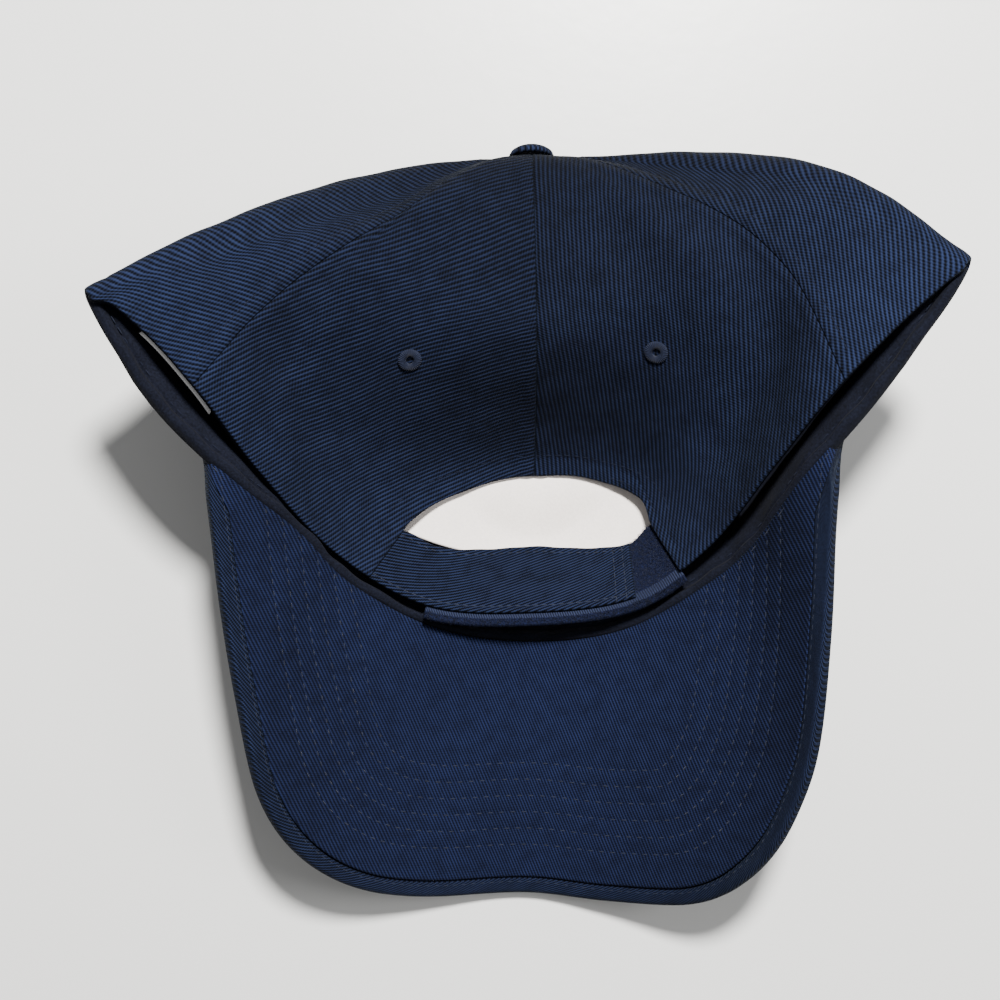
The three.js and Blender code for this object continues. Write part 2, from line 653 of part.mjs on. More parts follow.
// A panel with a round hole through it for an eyelet's barrel.
function pierced(geometry, { turn, climb }) {
  const { point, normal } = crownFrame(turn, climb);
  const axis = new THREE.Quaternion().setFromUnitVectors(new THREE.Vector3(0, 0, 1), normal);
  const place = new THREE.Matrix4().compose(point, axis, new THREE.Vector3(1, 1, 1));
  const drill = new THREE.CylinderGeometry(
    EYELET_BARREL + SEAM_GAP,
    EYELET_BARREL + SEAM_GAP,
    6 * CLOTH_WALL,
    16,
  );
  drill.deleteAttribute("uv").deleteAttribute("normal");
  const bit = mergeVertices(drill.rotateX(Math.PI / 2).applyMatrix4(place));
  const mesh = solidOf(geometry).subtract(solidOf(bit)).getMesh();
  return new THREE.BufferGeometry()
    .setAttribute("position", new THREE.BufferAttribute(mesh.vertProperties, 3))
    .setIndex(new THREE.BufferAttribute(mesh.triVerts, 1));
}

const [leftEyelet, rightEyelet] = EYELETS;
const backLeft = pierced(
  panel(0, PANEL_TURN, (share) => backEdge(OPENING_LEFT, PANEL_TURN, share)),
  leftEyelet,
);
const backRight = pierced(
  panel(-PANEL_TURN, 0, (share) => backEdge(OPENING_RIGHT, -PANEL_TURN, 1 - share)),
  rightEyelet,
);
const loopDepth = STRAP_WALL + LAYER_GAP;
const loopStrap = strap(OPENING_RIGHT, LOOP_STRAP_END, LOOP_OVERHANG, loopDepth, LOOP_WALL);

const cap = new THREE.Group();
cap.name = "baseball_cap";
cap.add(
  named("panel_back_left", backLeft, CLOTH),
  named("panel_back_right", backRight, CLOTH),
  named("panel_side_left", panel(seamTurn(1), seamTurn(2)), CLOTH),
  named("panel_front_left", panel(seamTurn(2), seamTurn(3)), CLOTH),
  named("panel_front_right", panel(seamTurn(3), seamTurn(4)), CLOTH),
  named("panel_side_right", panel(seamTurn(4), seamTurn(5)), CLOTH),
  named("stiffener", stiffener(), BUCKRAM),
  named("sweatband", sweatband(), BAND_COTTON),
  named("label", label(), LABEL_SATIN),
  named("peak", peak(), CLOTH),
  named("peak_under", peakUnder(), PEAK_CLOTH),
  named("strap_outer", strap(OPENING_LEFT, OUTER_STRAP_END, 0, 0, STRAP_WALL), CLOTH),
  named("strap_loop", loopStrap, TAPE),
  stand(named("button", button(), CLOTH), BUTTON_ROOT, BUTTON_AXIS),
);
for (const { name, turn, climb } of EYELETS) {
  const { point, normal } = crownFrame(turn, climb);
  cap.add(stand(named(name, eyelet(), THREAD), point, normal));
}

// The part stands on z = 0 with the middle of its box over the origin.
const box = new THREE.Box3().setFromObject(cap);
const middle = box.getCenter(new THREE.Vector3());
cap.position.set(-middle.x, -middle.y, -box.min.z);

export default cap;
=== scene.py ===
import math

import bpy
import numpy as np
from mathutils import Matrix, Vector
from numpy.polynomial.legendre import legvander2d


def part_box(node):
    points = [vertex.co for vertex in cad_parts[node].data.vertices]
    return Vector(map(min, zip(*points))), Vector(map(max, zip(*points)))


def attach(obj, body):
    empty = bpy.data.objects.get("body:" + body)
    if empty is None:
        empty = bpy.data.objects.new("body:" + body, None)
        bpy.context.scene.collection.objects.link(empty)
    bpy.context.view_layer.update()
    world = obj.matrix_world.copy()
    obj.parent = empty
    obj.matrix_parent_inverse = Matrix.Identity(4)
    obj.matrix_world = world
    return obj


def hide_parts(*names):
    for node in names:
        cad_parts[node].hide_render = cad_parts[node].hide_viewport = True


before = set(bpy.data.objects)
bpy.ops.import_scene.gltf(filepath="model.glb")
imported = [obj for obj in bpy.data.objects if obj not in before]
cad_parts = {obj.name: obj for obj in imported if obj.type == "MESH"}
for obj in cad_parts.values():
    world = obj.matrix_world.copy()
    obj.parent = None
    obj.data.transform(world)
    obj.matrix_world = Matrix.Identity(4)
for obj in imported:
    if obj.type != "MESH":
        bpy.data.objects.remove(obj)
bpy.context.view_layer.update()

# A six-panel baseball cap that lies collapsed on its front, seen from straight above. Shapes are
# worked out in millimetres in the cap's own frame, whose origin is the middle of the front rim,
# and go to the shared frame, in metres, when a mesh is made.
HALF_SPAN = 101.0
CROWN_DEPTH = 120.0
EAR_RISE = 54.0
FOLD_RADIUS = 2.3
FOLD_GROWTH = {"rim": 1.0, "low": 1.4, "high": 2.2}
FOLD_HALF_TURN = 4.0
BUTTON_HEIGHT = 20.0
BUTTON_DROOP = 12.0
CLOTH_WALL = 1.2
LAYER_GAP = 0.4
STIFFENER_WALL = 1.0
BAND_WALL = 1.0
BAND_WIDTH = 21.0
LABEL_WALL = 1.0
LABEL_WIDTH = 12.0
LABEL_OVERHANG = 0.6
STRAP_WALL = 1.5
LOOP_WALL = 1.3
LOOP_OVERHANG = 3.0
BUTTON_RADIUS = 5.6
BUTTON_DOME = 3.2
RIVET_RADIUS = 2.0
CROWN_HOLE = 2.3
PEAK_HALF_WIDTH = 75.0
PEAK_REACH = 66.0
PEAK_SIDE_RISE = 42.2
PEAK_CENTRE = -3.0
PEAK_WALL = 2.6
PEAK_HEM = 4.2
UNDER_WALL = 1.0
ROOT_DROP = 0.6
ROOT_GAP = 1.0
PEAK_TURNS = (113.0, 247.0)
STRAP_CLIMB = 0.16
OUTER_STRAP_END = -15.6
LOOP_STRAP_END = 15.0
LABEL_TURNS = (55.0, 70.0)
PANEL_TURN = 60.0


def at(out, up, rise):
    return np.array([out * HALF_SPAN, up * CROWN_DEPTH, rise * EAR_RISE])


def row(turn, rim, low, high):
    return {"turn": turn, "rim": at(*rim), "low": at(*low), "high": at(*high)}


# Lines of the crown from the rim to the button: turn round the rim in degrees, then where the line
# is on the rim and one and two thirds of the way up, each as out, up and rise.
BACK_ROWS = [
    row(-75, (0.932, 0.714, 1.01), (0.683, 0.878, 0.868), (0.398, 0.947, 0.612)),
    row(-70, (0.855, 0.656, 0.988), (0.65, 0.845, 0.862), (0.385, 0.93, 0.638)),
    row(-60, (0.71, 0.53, 0.93), (0.58, 0.76, 0.82), (0.37, 0.9, 0.69)),
    row(-45, (0.57, 0.37, 0.72), (0.54, 0.58, 0.7), (0.36, 0.8, 0.74)),
    row(-30, (0.43, 0.2, 0.45), (0.4, 0.42, 0.44), (0.28, 0.73, 0.68)),
    row(-15, (0.25, 0.095, 0.34), (0.22, 0.34, 0.16), (0.14, 0.68, 0.61)),
    row(0, (0, 0.065, 0.33), (0.01, 0.35, 0.1), (0.01, 0.66, 0.58)),
    row(15, (-0.26, 0.08, 0.34), (-0.2, 0.34, 0.16), (-0.13, 0.67, 0.61)),
    row(30, (-0.48, 0.19, 0.45), (-0.44, 0.4, 0.44), (-0.28, 0.72, 0.68)),
    row(45, (-0.65, 0.36, 0.72), (-0.57, 0.55, 0.7), (-0.38, 0.79, 0.74)),
    row(60, (-0.78, 0.52, 0.93), (-0.58, 0.71, 0.82), (-0.33, 0.86, 0.69)),
    row(70, (-0.89, 0.624, 0.988), (-0.66, 0.765, 0.862), (-0.345, 0.885, 0.638)),
    row(75, (-0.962, 0.674, 1.01), (-0.7, 0.785, 0.868), (-0.356, 0.902, 0.612)),
]
FRONT_ROWS = [
    row(100, (-0.9, 0.51, 0.87), (-0.71, 0.745, 0.48), (-0.37, 0.905, 0.22)),
    row(120, (-0.71, 0.34, 0.76), (-0.6, 0.57, 0.26), (-0.31, 0.86, 0.06)),
    row(135, (-0.58, 0.24, 0.56), (-0.52, 0.48, 0.13), (-0.26, 0.8, 0.02)),
    row(150, (-0.46, 0.13, 0.38), (-0.41, 0.39, 0.04), (-0.21, 0.74, 0)),
    row(165, (-0.24, 0.03, 0.22), (-0.2, 0.35, 0), (-0.1, 0.71, -0.03)),
    row(180, (0.01, 0, 0.15), (0.01, 0.34, -0.04), (0, 0.7, -0.04)),
    row(195, (0.25, 0.03, 0.22), (0.22, 0.35, 0), (0.12, 0.71, -0.03)),
    row(210, (0.47, 0.14, 0.38), (0.43, 0.4, 0.04), (0.23, 0.74, 0)),
    row(240, (0.67, 0.37, 0.76), (0.6, 0.61, 0.26), (0.33, 0.86, 0.06)),
    row(260, (0.83, 0.54, 0.87), (0.71, 0.81, 0.48), (0.43, 0.93, 0.22)),
]
FOLDS = [
    row(82, (-1.01, 0.68, 0.98), (-0.73, 0.81, 0.8), (-0.38, 0.92, 0.5)),
    row(278, (0.98, 0.74, 0.98), (0.71, 0.91, 0.8), (0.42, 0.965, 0.5)),
]
# The back panels' lower edges over the strap: turn and share of the way up to the button.
OPENING_LEFT = [(0, 0.335), (8, 0.33), (13.5, 0.305), (17, 0.27), (19.5, 0.22), (20.7, 0.175),
                (24.2, 0)]
OPENING_RIGHT = [(0, 0.335), (-8, 0.345), (-14, 0.326), (-17.8, 0.288), (-19.4, 0.25), (-19.9, 0.19),
                 (-24.2, 0)]
# The peak's edge from above: out from its centre line and forward of its root.
PEAK_EDGE = [
    (-1, -0.69), (-0.98, -0.47), (-0.95, -0.15), (-0.91, 0.17), (-0.85, 0.53), (-0.79, 0.69),
    (-0.72, 0.8), (-0.63, 0.89), (-0.52, 0.955), (-0.4, 0.99), (-0.27, 1.005), (0.04, 1),
    (0.31, 1.02), (0.57, 1), (0.68, 0.945), (0.77, 0.85), (0.84, 0.73), (0.9, 0.56),
    (0.94, 0.38), (0.975, -0.05), (0.99, -0.47), (1, -0.71),
]

# The photograph: straight down from this height, with this many millimetres to a pixel on the
# table. The cap's centre line and the middle of its front rim stand at this pixel.
CAMERA_HEIGHT = 420.0
TABLE_SCALE = 0.262
FRAME_PIXELS = 1000
ROOT_PIXEL = (530, 640)
RIM_HEIGHT = 8.0


def unit(v):
    return v / np.linalg.norm(v, axis=-1, keepdims=True)


DROOP = math.radians(BUTTON_DROOP)
BUTTON_AXIS = np.array([0, math.cos(DROOP), -math.sin(DROOP)])
BUTTON_ROOT = np.array([0, CROWN_DEPTH, BUTTON_HEIGHT])


# The crown's surface.


def fold_frame(fold, column, back, front):
    """Centre of an ear's fold in one column, its level way out, its way over, and its radius."""
    along = unit(fold["high"] - fold["rim"])
    inward = (back[column] + front[column]) / 2 - fold[column]
    inward[2] = 0
    out = -unit(inward - along * np.dot(inward, along))
    over = unit(np.cross(along, out))
    if np.dot(over, back[column] - front[column]) < 0:
        over = -over
    return fold[column], out, over, FOLD_RADIUS * FOLD_GROWTH[column]


def smooth_track(places, points, first_slope, last_slope):
    places = np.array(places, float)
    points = np.array(points, float)
    slopes = np.zeros_like(points)
    slopes[0], slopes[-1] = first_slope, last_slope
    for i in range(1, len(places) - 1):
        before = (points[i] - points[i - 1]) / (places[i] - places[i - 1])
        after = (points[i + 1] - points[i]) / (places[i + 1] - places[i])
        share = (places[i] - places[i - 1]) / (places[i + 1] - places[i - 1])
        slopes[i] = before * (1 - share) + after * share
    return places, points, slopes


def sheet_track(rows, column, start, end):
    """One sheet of a column. start and end give each fold's frame, side and turn."""
    ends = []
    for (frame_, side, turn), neighbour, way in ((start, rows[0], -1), (end, rows[-1], 1)):
        centre, out, over, radius = frame_
        point = centre + over * side * radius
        speed = np.linalg.norm(point - neighbour[column]) / abs(turn - neighbour["turn"])
        ends.append((turn, point, out * way * speed))
    (t0, p0, s0), (t1, p1, s1) = ends
    return smooth_track([t0, *(r["turn"] for r in rows), t1],
                        [p0, *(r[column] for r in rows), p1], s0, s1)


def column_tracks(column):
    left = fold_frame(FOLDS[0], column, BACK_ROWS[-1], FRONT_ROWS[0])
    right = fold_frame(FOLDS[1], column, BACK_ROWS[0], FRONT_ROWS[-1])
    lt, rt = FOLDS[0]["turn"], FOLDS[1]["turn"]
    back = sheet_track(BACK_ROWS, column, (right, 1, rt + FOLD_HALF_TURN - 360),
                       (left, 1, lt - FOLD_HALF_TURN))
    front = sheet_track(FRONT_ROWS, column, (left, -1, lt + FOLD_HALF_TURN),
                        (right, -1, rt - FOLD_HALF_TURN))
    return left, right, back, front


TRACKS = {column: column_tracks(column) for column in ("rim", "low", "high")}


def hermite(p0, m0, p1, m1, t):
    t = t[..., None]
    t2, t3 = t * t, t * t * t
    return (p0 * (2 * t3 - 3 * t2 + 1) + m0 * (t3 - 2 * t2 + t)
            + p1 * (3 * t2 - 2 * t3) + m1 * (t3 - t2))


def follow(track, place):
    """Points at places along a track, on a smooth curve through its own points."""
    places, points, slopes = track
    i = np.clip(np.searchsorted(places, place, side="left") - 1, 0, len(places) - 2)
    length = places[i + 1] - places[i]
    t = (place - places[i]) / length
    return hermite(points[i], slopes[i] * length[..., None],
                   points[i + 1], slopes[i + 1] * length[..., None], t)


def column_point(column, turn):
    """Points of one column all round the crown: back sheet, folds and front sheet."""
    left, right, back, front = TRACKS[column]
    signed = (turn + 180) % 360 - 180
    positive = turn % 360
    from_left = (positive - FOLDS[0]["turn"]) / FOLD_HALF_TURN
    from_right = (positive - FOLDS[1]["turn"]) / FOLD_HALF_TURN
    out = follow(back, np.clip(signed, back[0][0], back[0][-1]))
    in_front = (from_left >= 1) & (from_right <= -1)
    out[in_front] = follow(front, np.clip(positive, front[0][0], front[0][-1]))[in_front]
    for way, (centre, away, over, radius), share in ((-1, left, from_left),
                                                     (1, right, from_right)):
        inside = np.abs(share) < 1
        angle = (way * share * np.pi / 2)[..., None]
        out[inside] = (centre + radius * (np.cos(angle) * away + np.sin(angle) * over))[inside]
    return out


def button_spoke(turn):
    """The way out from the button's axis towards each turn."""
    up = unit(np.array([0, 0, 1.0]) - BUTTON_AXIS * BUTTON_AXIS[2])
    side = np.cross(BUTTON_AXIS, up)
    angle = -np.radians(turn)[..., None]
    return up * np.cos(angle) + side * np.sin(angle)


def crown_point(turn, climb):
    """The middle of the crown's cloth. climb is 0 on the rim and 1 at the button."""
    turn, climb = np.broadcast_arrays(np.asarray(turn, float), np.asarray(climb, float))
    rim, low, high = (column_point(column, turn) for column in ("rim", "low", "high"))
    spoke = button_spoke(turn)
    top = BUTTON_ROOT + spoke * CROWN_HOLE
    start = (low - rim) * 1.15 - (high - low) * 0.15
    points = np.stack([rim, low, high, top])
    slopes = np.stack([start, (high - rim) / 2, (top - low) / 2, -spoke * CROWN_DEPTH / 3])
    x = np.clip(climb, 0, 1) * 3
    i = np.clip(x.astype(int), 0, 2)

    def pick(array, step):
        index = np.broadcast_to((i + step)[None, ..., None], (1,) + i.shape + (3,))
        return np.take_along_axis(array, index, 0)[0]

    point = hermite(pick(points, 0), pick(slopes, 0), pick(points, 1), pick(slopes, 1), x - i)
    past = climb < 0
    point[past] = (rim + start * 3 * climb[..., None])[past]
    point[..., 2] = np.maximum(point[..., 2], CLOTH_WALL / 2)
    return point


def crown_frame(turn, climb):
    """Point, direction along the rim, direction to the button, and the way out of the cloth."""
    turn, climb = np.broadcast_arrays(np.asarray(turn, float), np.asarray(climb, float))
    step, rise = 0.25, 0.004
    high = np.minimum(climb + rise, 1)
    across = crown_point(turn + step, climb) - crown_point(turn - step, climb)
    upward = crown_point(turn, high) - crown_point(turn, high - 2 * rise)
    normal = unit(np.cross(upward, across))
    return crown_point(turn, climb), unit(across), unit(upward), normal


def climb_at(turn, length):
    """Share of the way up at which each turn's line has run a length from the rim."""
    turn = np.atleast_1d(np.asarray(turn, float))
    climbs = np.linspace(0, 0.5, 101)
    runs = run_up(crown_point(turn[:, None], climbs[None, :]))
    return np.array([np.interp(length, run, climbs) for run in runs])


def mound(distance, place, width):
    """A soft rise of 1 at a place, with a half width."""
    return np.exp(-((distance - place) / width) ** 2)


# Soft valleys in the crown seen from above: places along each, its depth and its half width.
VALLEYS = [
    {"places": [(-71, 91), (-67, 81), (-63, 70)], "depth": 0.9, "width": 5.0},
    {"places": [(66, 97), (60, 86), (54, 66), (46, 50)], "depth": 0.8, "width": 6.0},
    {"places": [(-20, 92), (-30, 78), (-36, 62)], "depth": 0.45, "width": 8.0},
    {"places": [(20, 98), (26, 84), (30, 66)], "depth": 0.4, "width": 7.0},
]
# The valleys begin over this distance from a panel's lower edge. A panel is about this long.
VALLEY_START = 12.0
PANEL_REACH = 90.0


def valley_depth(point):
    """How far the cloth sinks at each point: soft valleys and a slight waviness."""
    flat = point[..., :2]
    depth = np.zeros(flat.shape[:-1])
    for valley in VALLEYS:
        places = np.array(valley["places"], float)
        nearest = np.full(flat.shape[:-1], 1e9)
        for a, b in zip(places, places[1:]):
            share = np.clip(((flat - a) @ (b - a)) / np.dot(b - a, b - a), 0, 1)
            gap = np.linalg.norm(flat - a - share[..., None] * (b - a), axis=-1)
            nearest = np.minimum(nearest, gap)
        depth += valley["depth"] * mound(nearest, 0, valley["width"])
    x, y, z = point[..., 0], point[..., 1], point[..., 2]
    waves = (np.sin(0.23 * x + 0.11 * y + 1.3) * np.sin(0.19 * y - 0.08 * x + 0.2 * z)
             + 0.6 * np.sin(0.41 * x - 0.29 * y + 0.7) * np.sin(0.37 * y + 0.12 * x + 2.1))
    return depth + 0.16 * waves


# Meshes.


def lathe(profile, segments, wave=None):
    """Grid of points of a turned form about +Z, one row for each place on its profile."""
    angle = np.linspace(0, 2 * np.pi, segments, endpoint=False)
    radius = np.array([p[0] for p in profile])[:, None] * np.ones_like(angle)
    height = np.array([p[1] for p in profile])[:, None] * np.ones_like(angle)
    if wave:
        radius, height = wave(angle, radius, height)
    return np.stack([radius * np.cos(angle), radius * np.sin(angle), height], -1)


def stood(points, place, axis):
    turn = Vector((0, 0, 1)).rotation_difference(Vector(axis)).to_matrix()
    return points @ np.array(turn).T + place


BUTTON_SEAT = CLOTH_WALL / 2 + LAYER_GAP


def dome(degrees):
    """Radius and height of places on the button's dome, each at an angle up from its rim."""
    return [(BUTTON_RADIUS * math.cos(a), BUTTON_SEAT + BUTTON_DOME * (0.2 + 0.8 * math.sin(a)))
            for a in np.radians(degrees)]


def button_points():
    profile = [(1.0, BUTTON_SEAT), (4.8, BUTTON_SEAT), (5.3, BUTTON_SEAT + 0.1),
               (BUTTON_RADIUS * 0.99, BUTTON_SEAT + 0.35)]

    def pleats(angle, radius, height):
        near_edge = np.clip(radius / BUTTON_RADIUS, 0, 1) ** 3
        return radius * (1 + 0.012 * near_edge * np.cos(14 * angle)), height

    profile += dome([0, 8, 18, 30, 43, 56, 68, 79, 88])
    return stood(lathe(profile, 84, pleats), BUTTON_ROOT, BUTTON_AXIS)


def solid_button():
    """Points of the button's solid: a plain dome over a rivet that reaches through the crown."""
    profile = [(RIVET_RADIUS, -CLOTH_WALL), (BUTTON_RADIUS * 0.97, BUTTON_SEAT),
               *dome(np.linspace(0, 90, 6))]
    return stood(lathe(profile, 24), BUTTON_ROOT, BUTTON_AXIS).reshape(-1, 3)


def box_middle(low, high):
    return (np.array(low) + np.array(high)) / 2


button_grid = button_points()
button_solid = solid_button()
SHIFT = (box_middle(*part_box("button")) * 1000
         - box_middle(button_solid.min(0), button_solid.max(0)))
SHIFT[2] = 0


def add_mesh(name, points, faces, material, node, uv=None):
    """A smooth-shaded piece in the shared frame. uv is one pair for each vertex."""
    mesh = bpy.data.meshes.new(name)
    mesh.from_pydata(((points + SHIFT) / 1000).tolist(), [], [list(map(int, f)) for f in faces])
    mesh.validate()
    if uv is not None:
        layer = mesh.uv_layers.new(name="cloth")
        loops = np.zeros(len(mesh.loops), int)
        mesh.loops.foreach_get("vertex_index", loops)
        layer.data.foreach_set("uv", (uv[loops] / 1000).astype(np.float32).ravel())
    mesh.polygons.foreach_set("use_smooth", np.ones(len(mesh.polygons), bool))
    mesh.materials.append(material)
    piece = bpy.data.objects.new(name, mesh)
    bpy.context.scene.collection.objects.link(piece)
    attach(piece, "root")
    if node:
        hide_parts(node)
    return piece


def grid_faces(columns, rows, first=0, flip=False, around=False):
    ids = first + np.arange(columns * rows).reshape(columns, rows)
    if around:
        ids = np.concatenate([ids, ids[:, :1]], 1)
    quads = np.stack([ids[:-1, :-1], ids[1:, :-1], ids[1:, 1:], ids[:-1, 1:]], -1).reshape(-1, 4)
    return quads[:, ::-1] if flip else quads


def slab(name, top, bottom, material, uv):
    """A closed wall between two grids of points, for the node of its name, closed by strips."""
    columns, rows = top.shape[:2]
    count = columns * rows
    ids = np.arange(count).reshape(columns, rows)
    loop = np.concatenate([ids[:-1, 0], ids[-1, :-1], ids[:0:-1, -1], ids[0, :0:-1]])
    after = np.roll(loop, -1)
    middle_i, middle_j = columns // 2, rows // 2
    facing = np.cross(top[middle_i + 1, middle_j] - top[middle_i, middle_j],
                      top[middle_i, middle_j + 1] - top[middle_i, middle_j])
    flip = np.dot(facing, top[middle_i, middle_j] - bottom[middle_i, middle_j]) < 0
    sides = np.stack([loop, loop + count, after + count, after], -1)
    faces = [*grid_faces(columns, rows, flip=flip),
             *grid_faces(columns, rows, first=count, flip=not flip),
             *(sides[:, ::-1] if flip else sides)]
    points = np.concatenate([top.reshape(-1, 3), bottom.reshape(-1, 3)])
    flat = uv.reshape(-1, 2)
    return add_mesh(name, points, faces, material, name, np.concatenate([flat, flat]))


def roll(distance, radius):
    """How far a face has dropped at a distance from a rounded edge."""
    share = 1 - np.clip(distance / radius, 0, 1)
    return radius * (1 - np.sqrt(1 - share ** 2))


def close_ends(count, ends=(0.002, 0.004, 0.007, 0.011, 0.017, 0.025, 0.035)):
    """Shares from 0 to 1 that stand closer together near both ends."""
    ends = np.array(ends)
    middle = np.linspace(ends[-1], 1 - ends[-1], count)[1:-1]
    return np.concatenate([[0], ends, middle, 1 - ends[::-1], [1]])


def run_across(grid):
    """Distances along each row of a grid from its first column."""
    steps = np.linalg.norm(np.diff(grid, axis=0), axis=-1)
    return np.concatenate([np.zeros((1, grid.shape[1])), np.cumsum(steps, 0)])


def run_up(grid):
    """Distances along each column of a grid from its first row."""
    return run_across(np.swapaxes(grid, 0, 1)).T


def path_run(path):
    """Distances along a path of points from its first point."""
    return run_across(path[:, None])[:, 0]


def edge_runs(grid):
    """Distances across and up a grid, and from each place to its nearest edge."""
    across, up = run_across(grid), run_up(grid)
    to_side, to_end = np.minimum(across, across[-1] - across), np.minimum(up, up[:, -1:] - up)
    return across, up, np.minimum(to_side, to_end)


def between(low, high, shares):
    """One row of places for each low one, at shares of the way from it to the high one."""
    return low[:, None] + (high - low)[:, None] * shares


def moved(point, way, distance):
    return point + way * np.asarray(distance)[..., None]


# Materials.


class Nodes:
    """A short way to write a node tree: each call adds a node and links what is passed to it."""

    def __init__(self, name):
        self.material = bpy.data.materials.new(name)
        self.material.use_nodes = True
        self.tree = self.material.node_tree
        self.shader = self.tree.nodes["Principled BSDF"]

    def add(self, kind, inputs=(), **settings):
        node = self.tree.nodes.new(kind)
        for key, value in settings.items():
            setattr(node, key, value)
        for key, value in dict(inputs).items():
            self.put(node.inputs[key], value)
        return node

    def put(self, socket, value):
        if hasattr(value, "is_linked"):
            self.tree.links.new(value, socket)
        else:
            socket.default_value = value

    def maths(self, operation, a, b=0.0, c=0.0):
        return self.add("ShaderNodeMath", {0: a, 1: b, 2: c}, operation=operation).outputs[0]

    def split(self, vector):
        return self.add("ShaderNodeSeparateXYZ", {0: vector}).outputs

    def wave(self, phase, operation="SINE"):
        """A wave of 0 to 1."""
        return self.maths("MULTIPLY_ADD", self.maths(operation, phase), 0.5, 0.5)

    def times(self, a, b):
        return self.maths("MULTIPLY", a, b)

    def plus(self, a, b):
        return self.maths("ADD", a, b)

    def mix(self, share, a, b, blend="MIX"):
        node = self.add("ShaderNodeMix", data_type="RGBA", blend_type=blend)
        self.put(node.inputs[0], share)
        self.put(node.inputs[6], a)
        self.put(node.inputs[7], b)
        return node.outputs[2]

    def noise(self, vector, scale, detail=2.0, rough=0.5):
        return self.add("ShaderNodeTexNoise", {"Vector": vector, "Scale": scale,
                                               "Detail": detail, "Roughness": rough}).outputs[0]

    def ramp(self, value, low, high, to_low=0.0, to_high=1.0):
        return self.add("ShaderNodeMapRange",
                        {"Value": value, "From Min": low, "From Max": high,
                         "To Min": to_low, "To Max": to_high}).outputs[0]

    def bump(self, height, distance):
        return self.add("ShaderNodeBump", {"Height": height, "Distance": distance,
                                           "Strength": 1.0}).outputs[0]

    def finish(self, inputs):
        """Sets the shader's inputs and gives the finished material."""
        for key, value in inputs.items():
            self.put(self.shader.inputs[key], value)
        return self.material


def ribs(nodes, uv, pitch, angle, waver):
    """A wave of 0 to 1 across ribs that run at an angle from the cloth's own up direction."""
    turned = nodes.add("ShaderNodeVectorRotate", {"Vector": uv, "Angle": math.radians(angle)},
                       rotation_type="Z_AXIS").outputs[0]
    turned_across, along, _ = nodes.split(turned)
    wobble = nodes.times(nodes.maths("SUBTRACT", nodes.noise(turned, 90.0), 0.5), waver)
    phase = nodes.times(nodes.plus(turned_across, wobble), 2 * math.pi / pitch)
    return nodes.wave(phase), along, phase


def painted_slope_shade(nodes, value, low=0.38):
    """Darkens a tone where the cloth slopes away from level: painted shade, which leaves the level
    parts paler.
    """
    normal = nodes.add("ShaderNodeNewGeometry").outputs["Normal"]
    level = nodes.maths("ABSOLUTE", nodes.split(normal)[2])
    return nodes.times(value, nodes.ramp(level, 0.45, 0.97, low, 1.0))


def tinted(nodes, colour, tone):
    grey = nodes.add("ShaderNodeCombineColor", {0: tone, 1: tone, 2: tone}).outputs[0]
    return nodes.mix(1.0, (*colour, 1), grey, "MULTIPLY")


def twill(name, colour, pitch, angle, depth=0.00028, dark=0.08, light=2.6, sharp=0.0, shade_to_button=False):
    """Ribbed cloth, whose ribs are ropes of slanted stitches with lint and uneven dye, with painted
    shade in the grooves between ribs, on slopes and, if asked, towards the button.
    """
    nodes = Nodes(name)
    uv = nodes.add("ShaderNodeUVMap", uv_map="cloth").outputs[0]
    wave, along, phase = ribs(nodes, uv, pitch, angle, pitch * 0.5)
    twist = nodes.maths("MULTIPLY_ADD", along, 2 * math.pi / (pitch * 0.7),
                        nodes.times(phase, 0.8))
    strand = nodes.wave(twist)
    grain = nodes.noise(uv, 2400.0, 3.0, 0.65)
    patch = nodes.noise(uv, 28.0, 3.0, 0.55)
    worn = nodes.ramp(nodes.noise(uv, 260.0, 3.0, 0.6), 0.3, 0.7, 0.55, 1.15)
    rib = nodes.times(nodes.maths("POWER", wave, 1.2), worn)
    height = nodes.plus(nodes.times(rib, 0.6),
                        nodes.plus(nodes.times(strand, 0.2), nodes.times(grain, 0.45)))
    # The tone follows the rib height: painted shade in the grooves between ribs and painted light on
    # their crests.
    tone = nodes.times(nodes.ramp(height, 0.3 + sharp, 0.9 - sharp, dark, light),
                       nodes.ramp(patch, 0.3, 0.7, 0.88, 1.12))
    # Painted shade: the crown's cloth darkens towards the button.
    if shade_to_button:
        tone = nodes.times(tone, nodes.ramp(nodes.split(uv)[1], *BUTTON_SHADE_SPAN, *BUTTON_SHADE_TONES))
    dye_and_painted_shade = tinted(nodes, colour, painted_slope_shade(nodes, tone))
    lint = nodes.ramp(nodes.noise(uv, 900.0, 4.0, 0.7), 0.68, 0.82, 0.0, 0.07)
    return nodes.finish({
        "Base Color": nodes.mix(lint, dye_and_painted_shade, LINT), "Roughness": 0.9, "Specular IOR Level": 0.08,
        "Sheen Weight": 0.03, "Sheen Roughness": 0.4, "Sheen Tint": SHEEN_TINT,
        "Normal": nodes.bump(height, depth)})


def plain_cloth(name, colour, scale=1400.0, depth=0.0001, sheen=0.1, spots=0.25, rough=0.92):
    """Cloth with no clear ribs: fine grain and slightly uneven colour."""
    nodes = Nodes(name)
    uv = nodes.add("ShaderNodeTexCoord").outputs["Object"]
    grain = nodes.noise(uv, scale, 3.0, 0.6)
    patch = nodes.noise(uv, 60.0, 2.0)
    tone = nodes.times(nodes.ramp(grain, 0.3, 0.7, 1 - spots, 1 + spots),
                       nodes.ramp(patch, 0.3, 0.7, 0.95, 1.05))
    return nodes.finish({"Base Color": tinted(nodes, colour, tone), "Roughness": rough,
                         "Specular IOR Level": 0.1, "Sheen Weight": sheen,
                         "Normal": nodes.bump(grain, depth)})


LINT = (0.16, 0.19, 0.26, 1)
SHEEN_TINT = (0.5, 0.68, 1.0, 1)
NAVY = (0.0046, 0.0071, 0.0188)
PEAK_NAVY = (0.0045, 0.0069, 0.0226)
RIB_PITCH = 0.00104
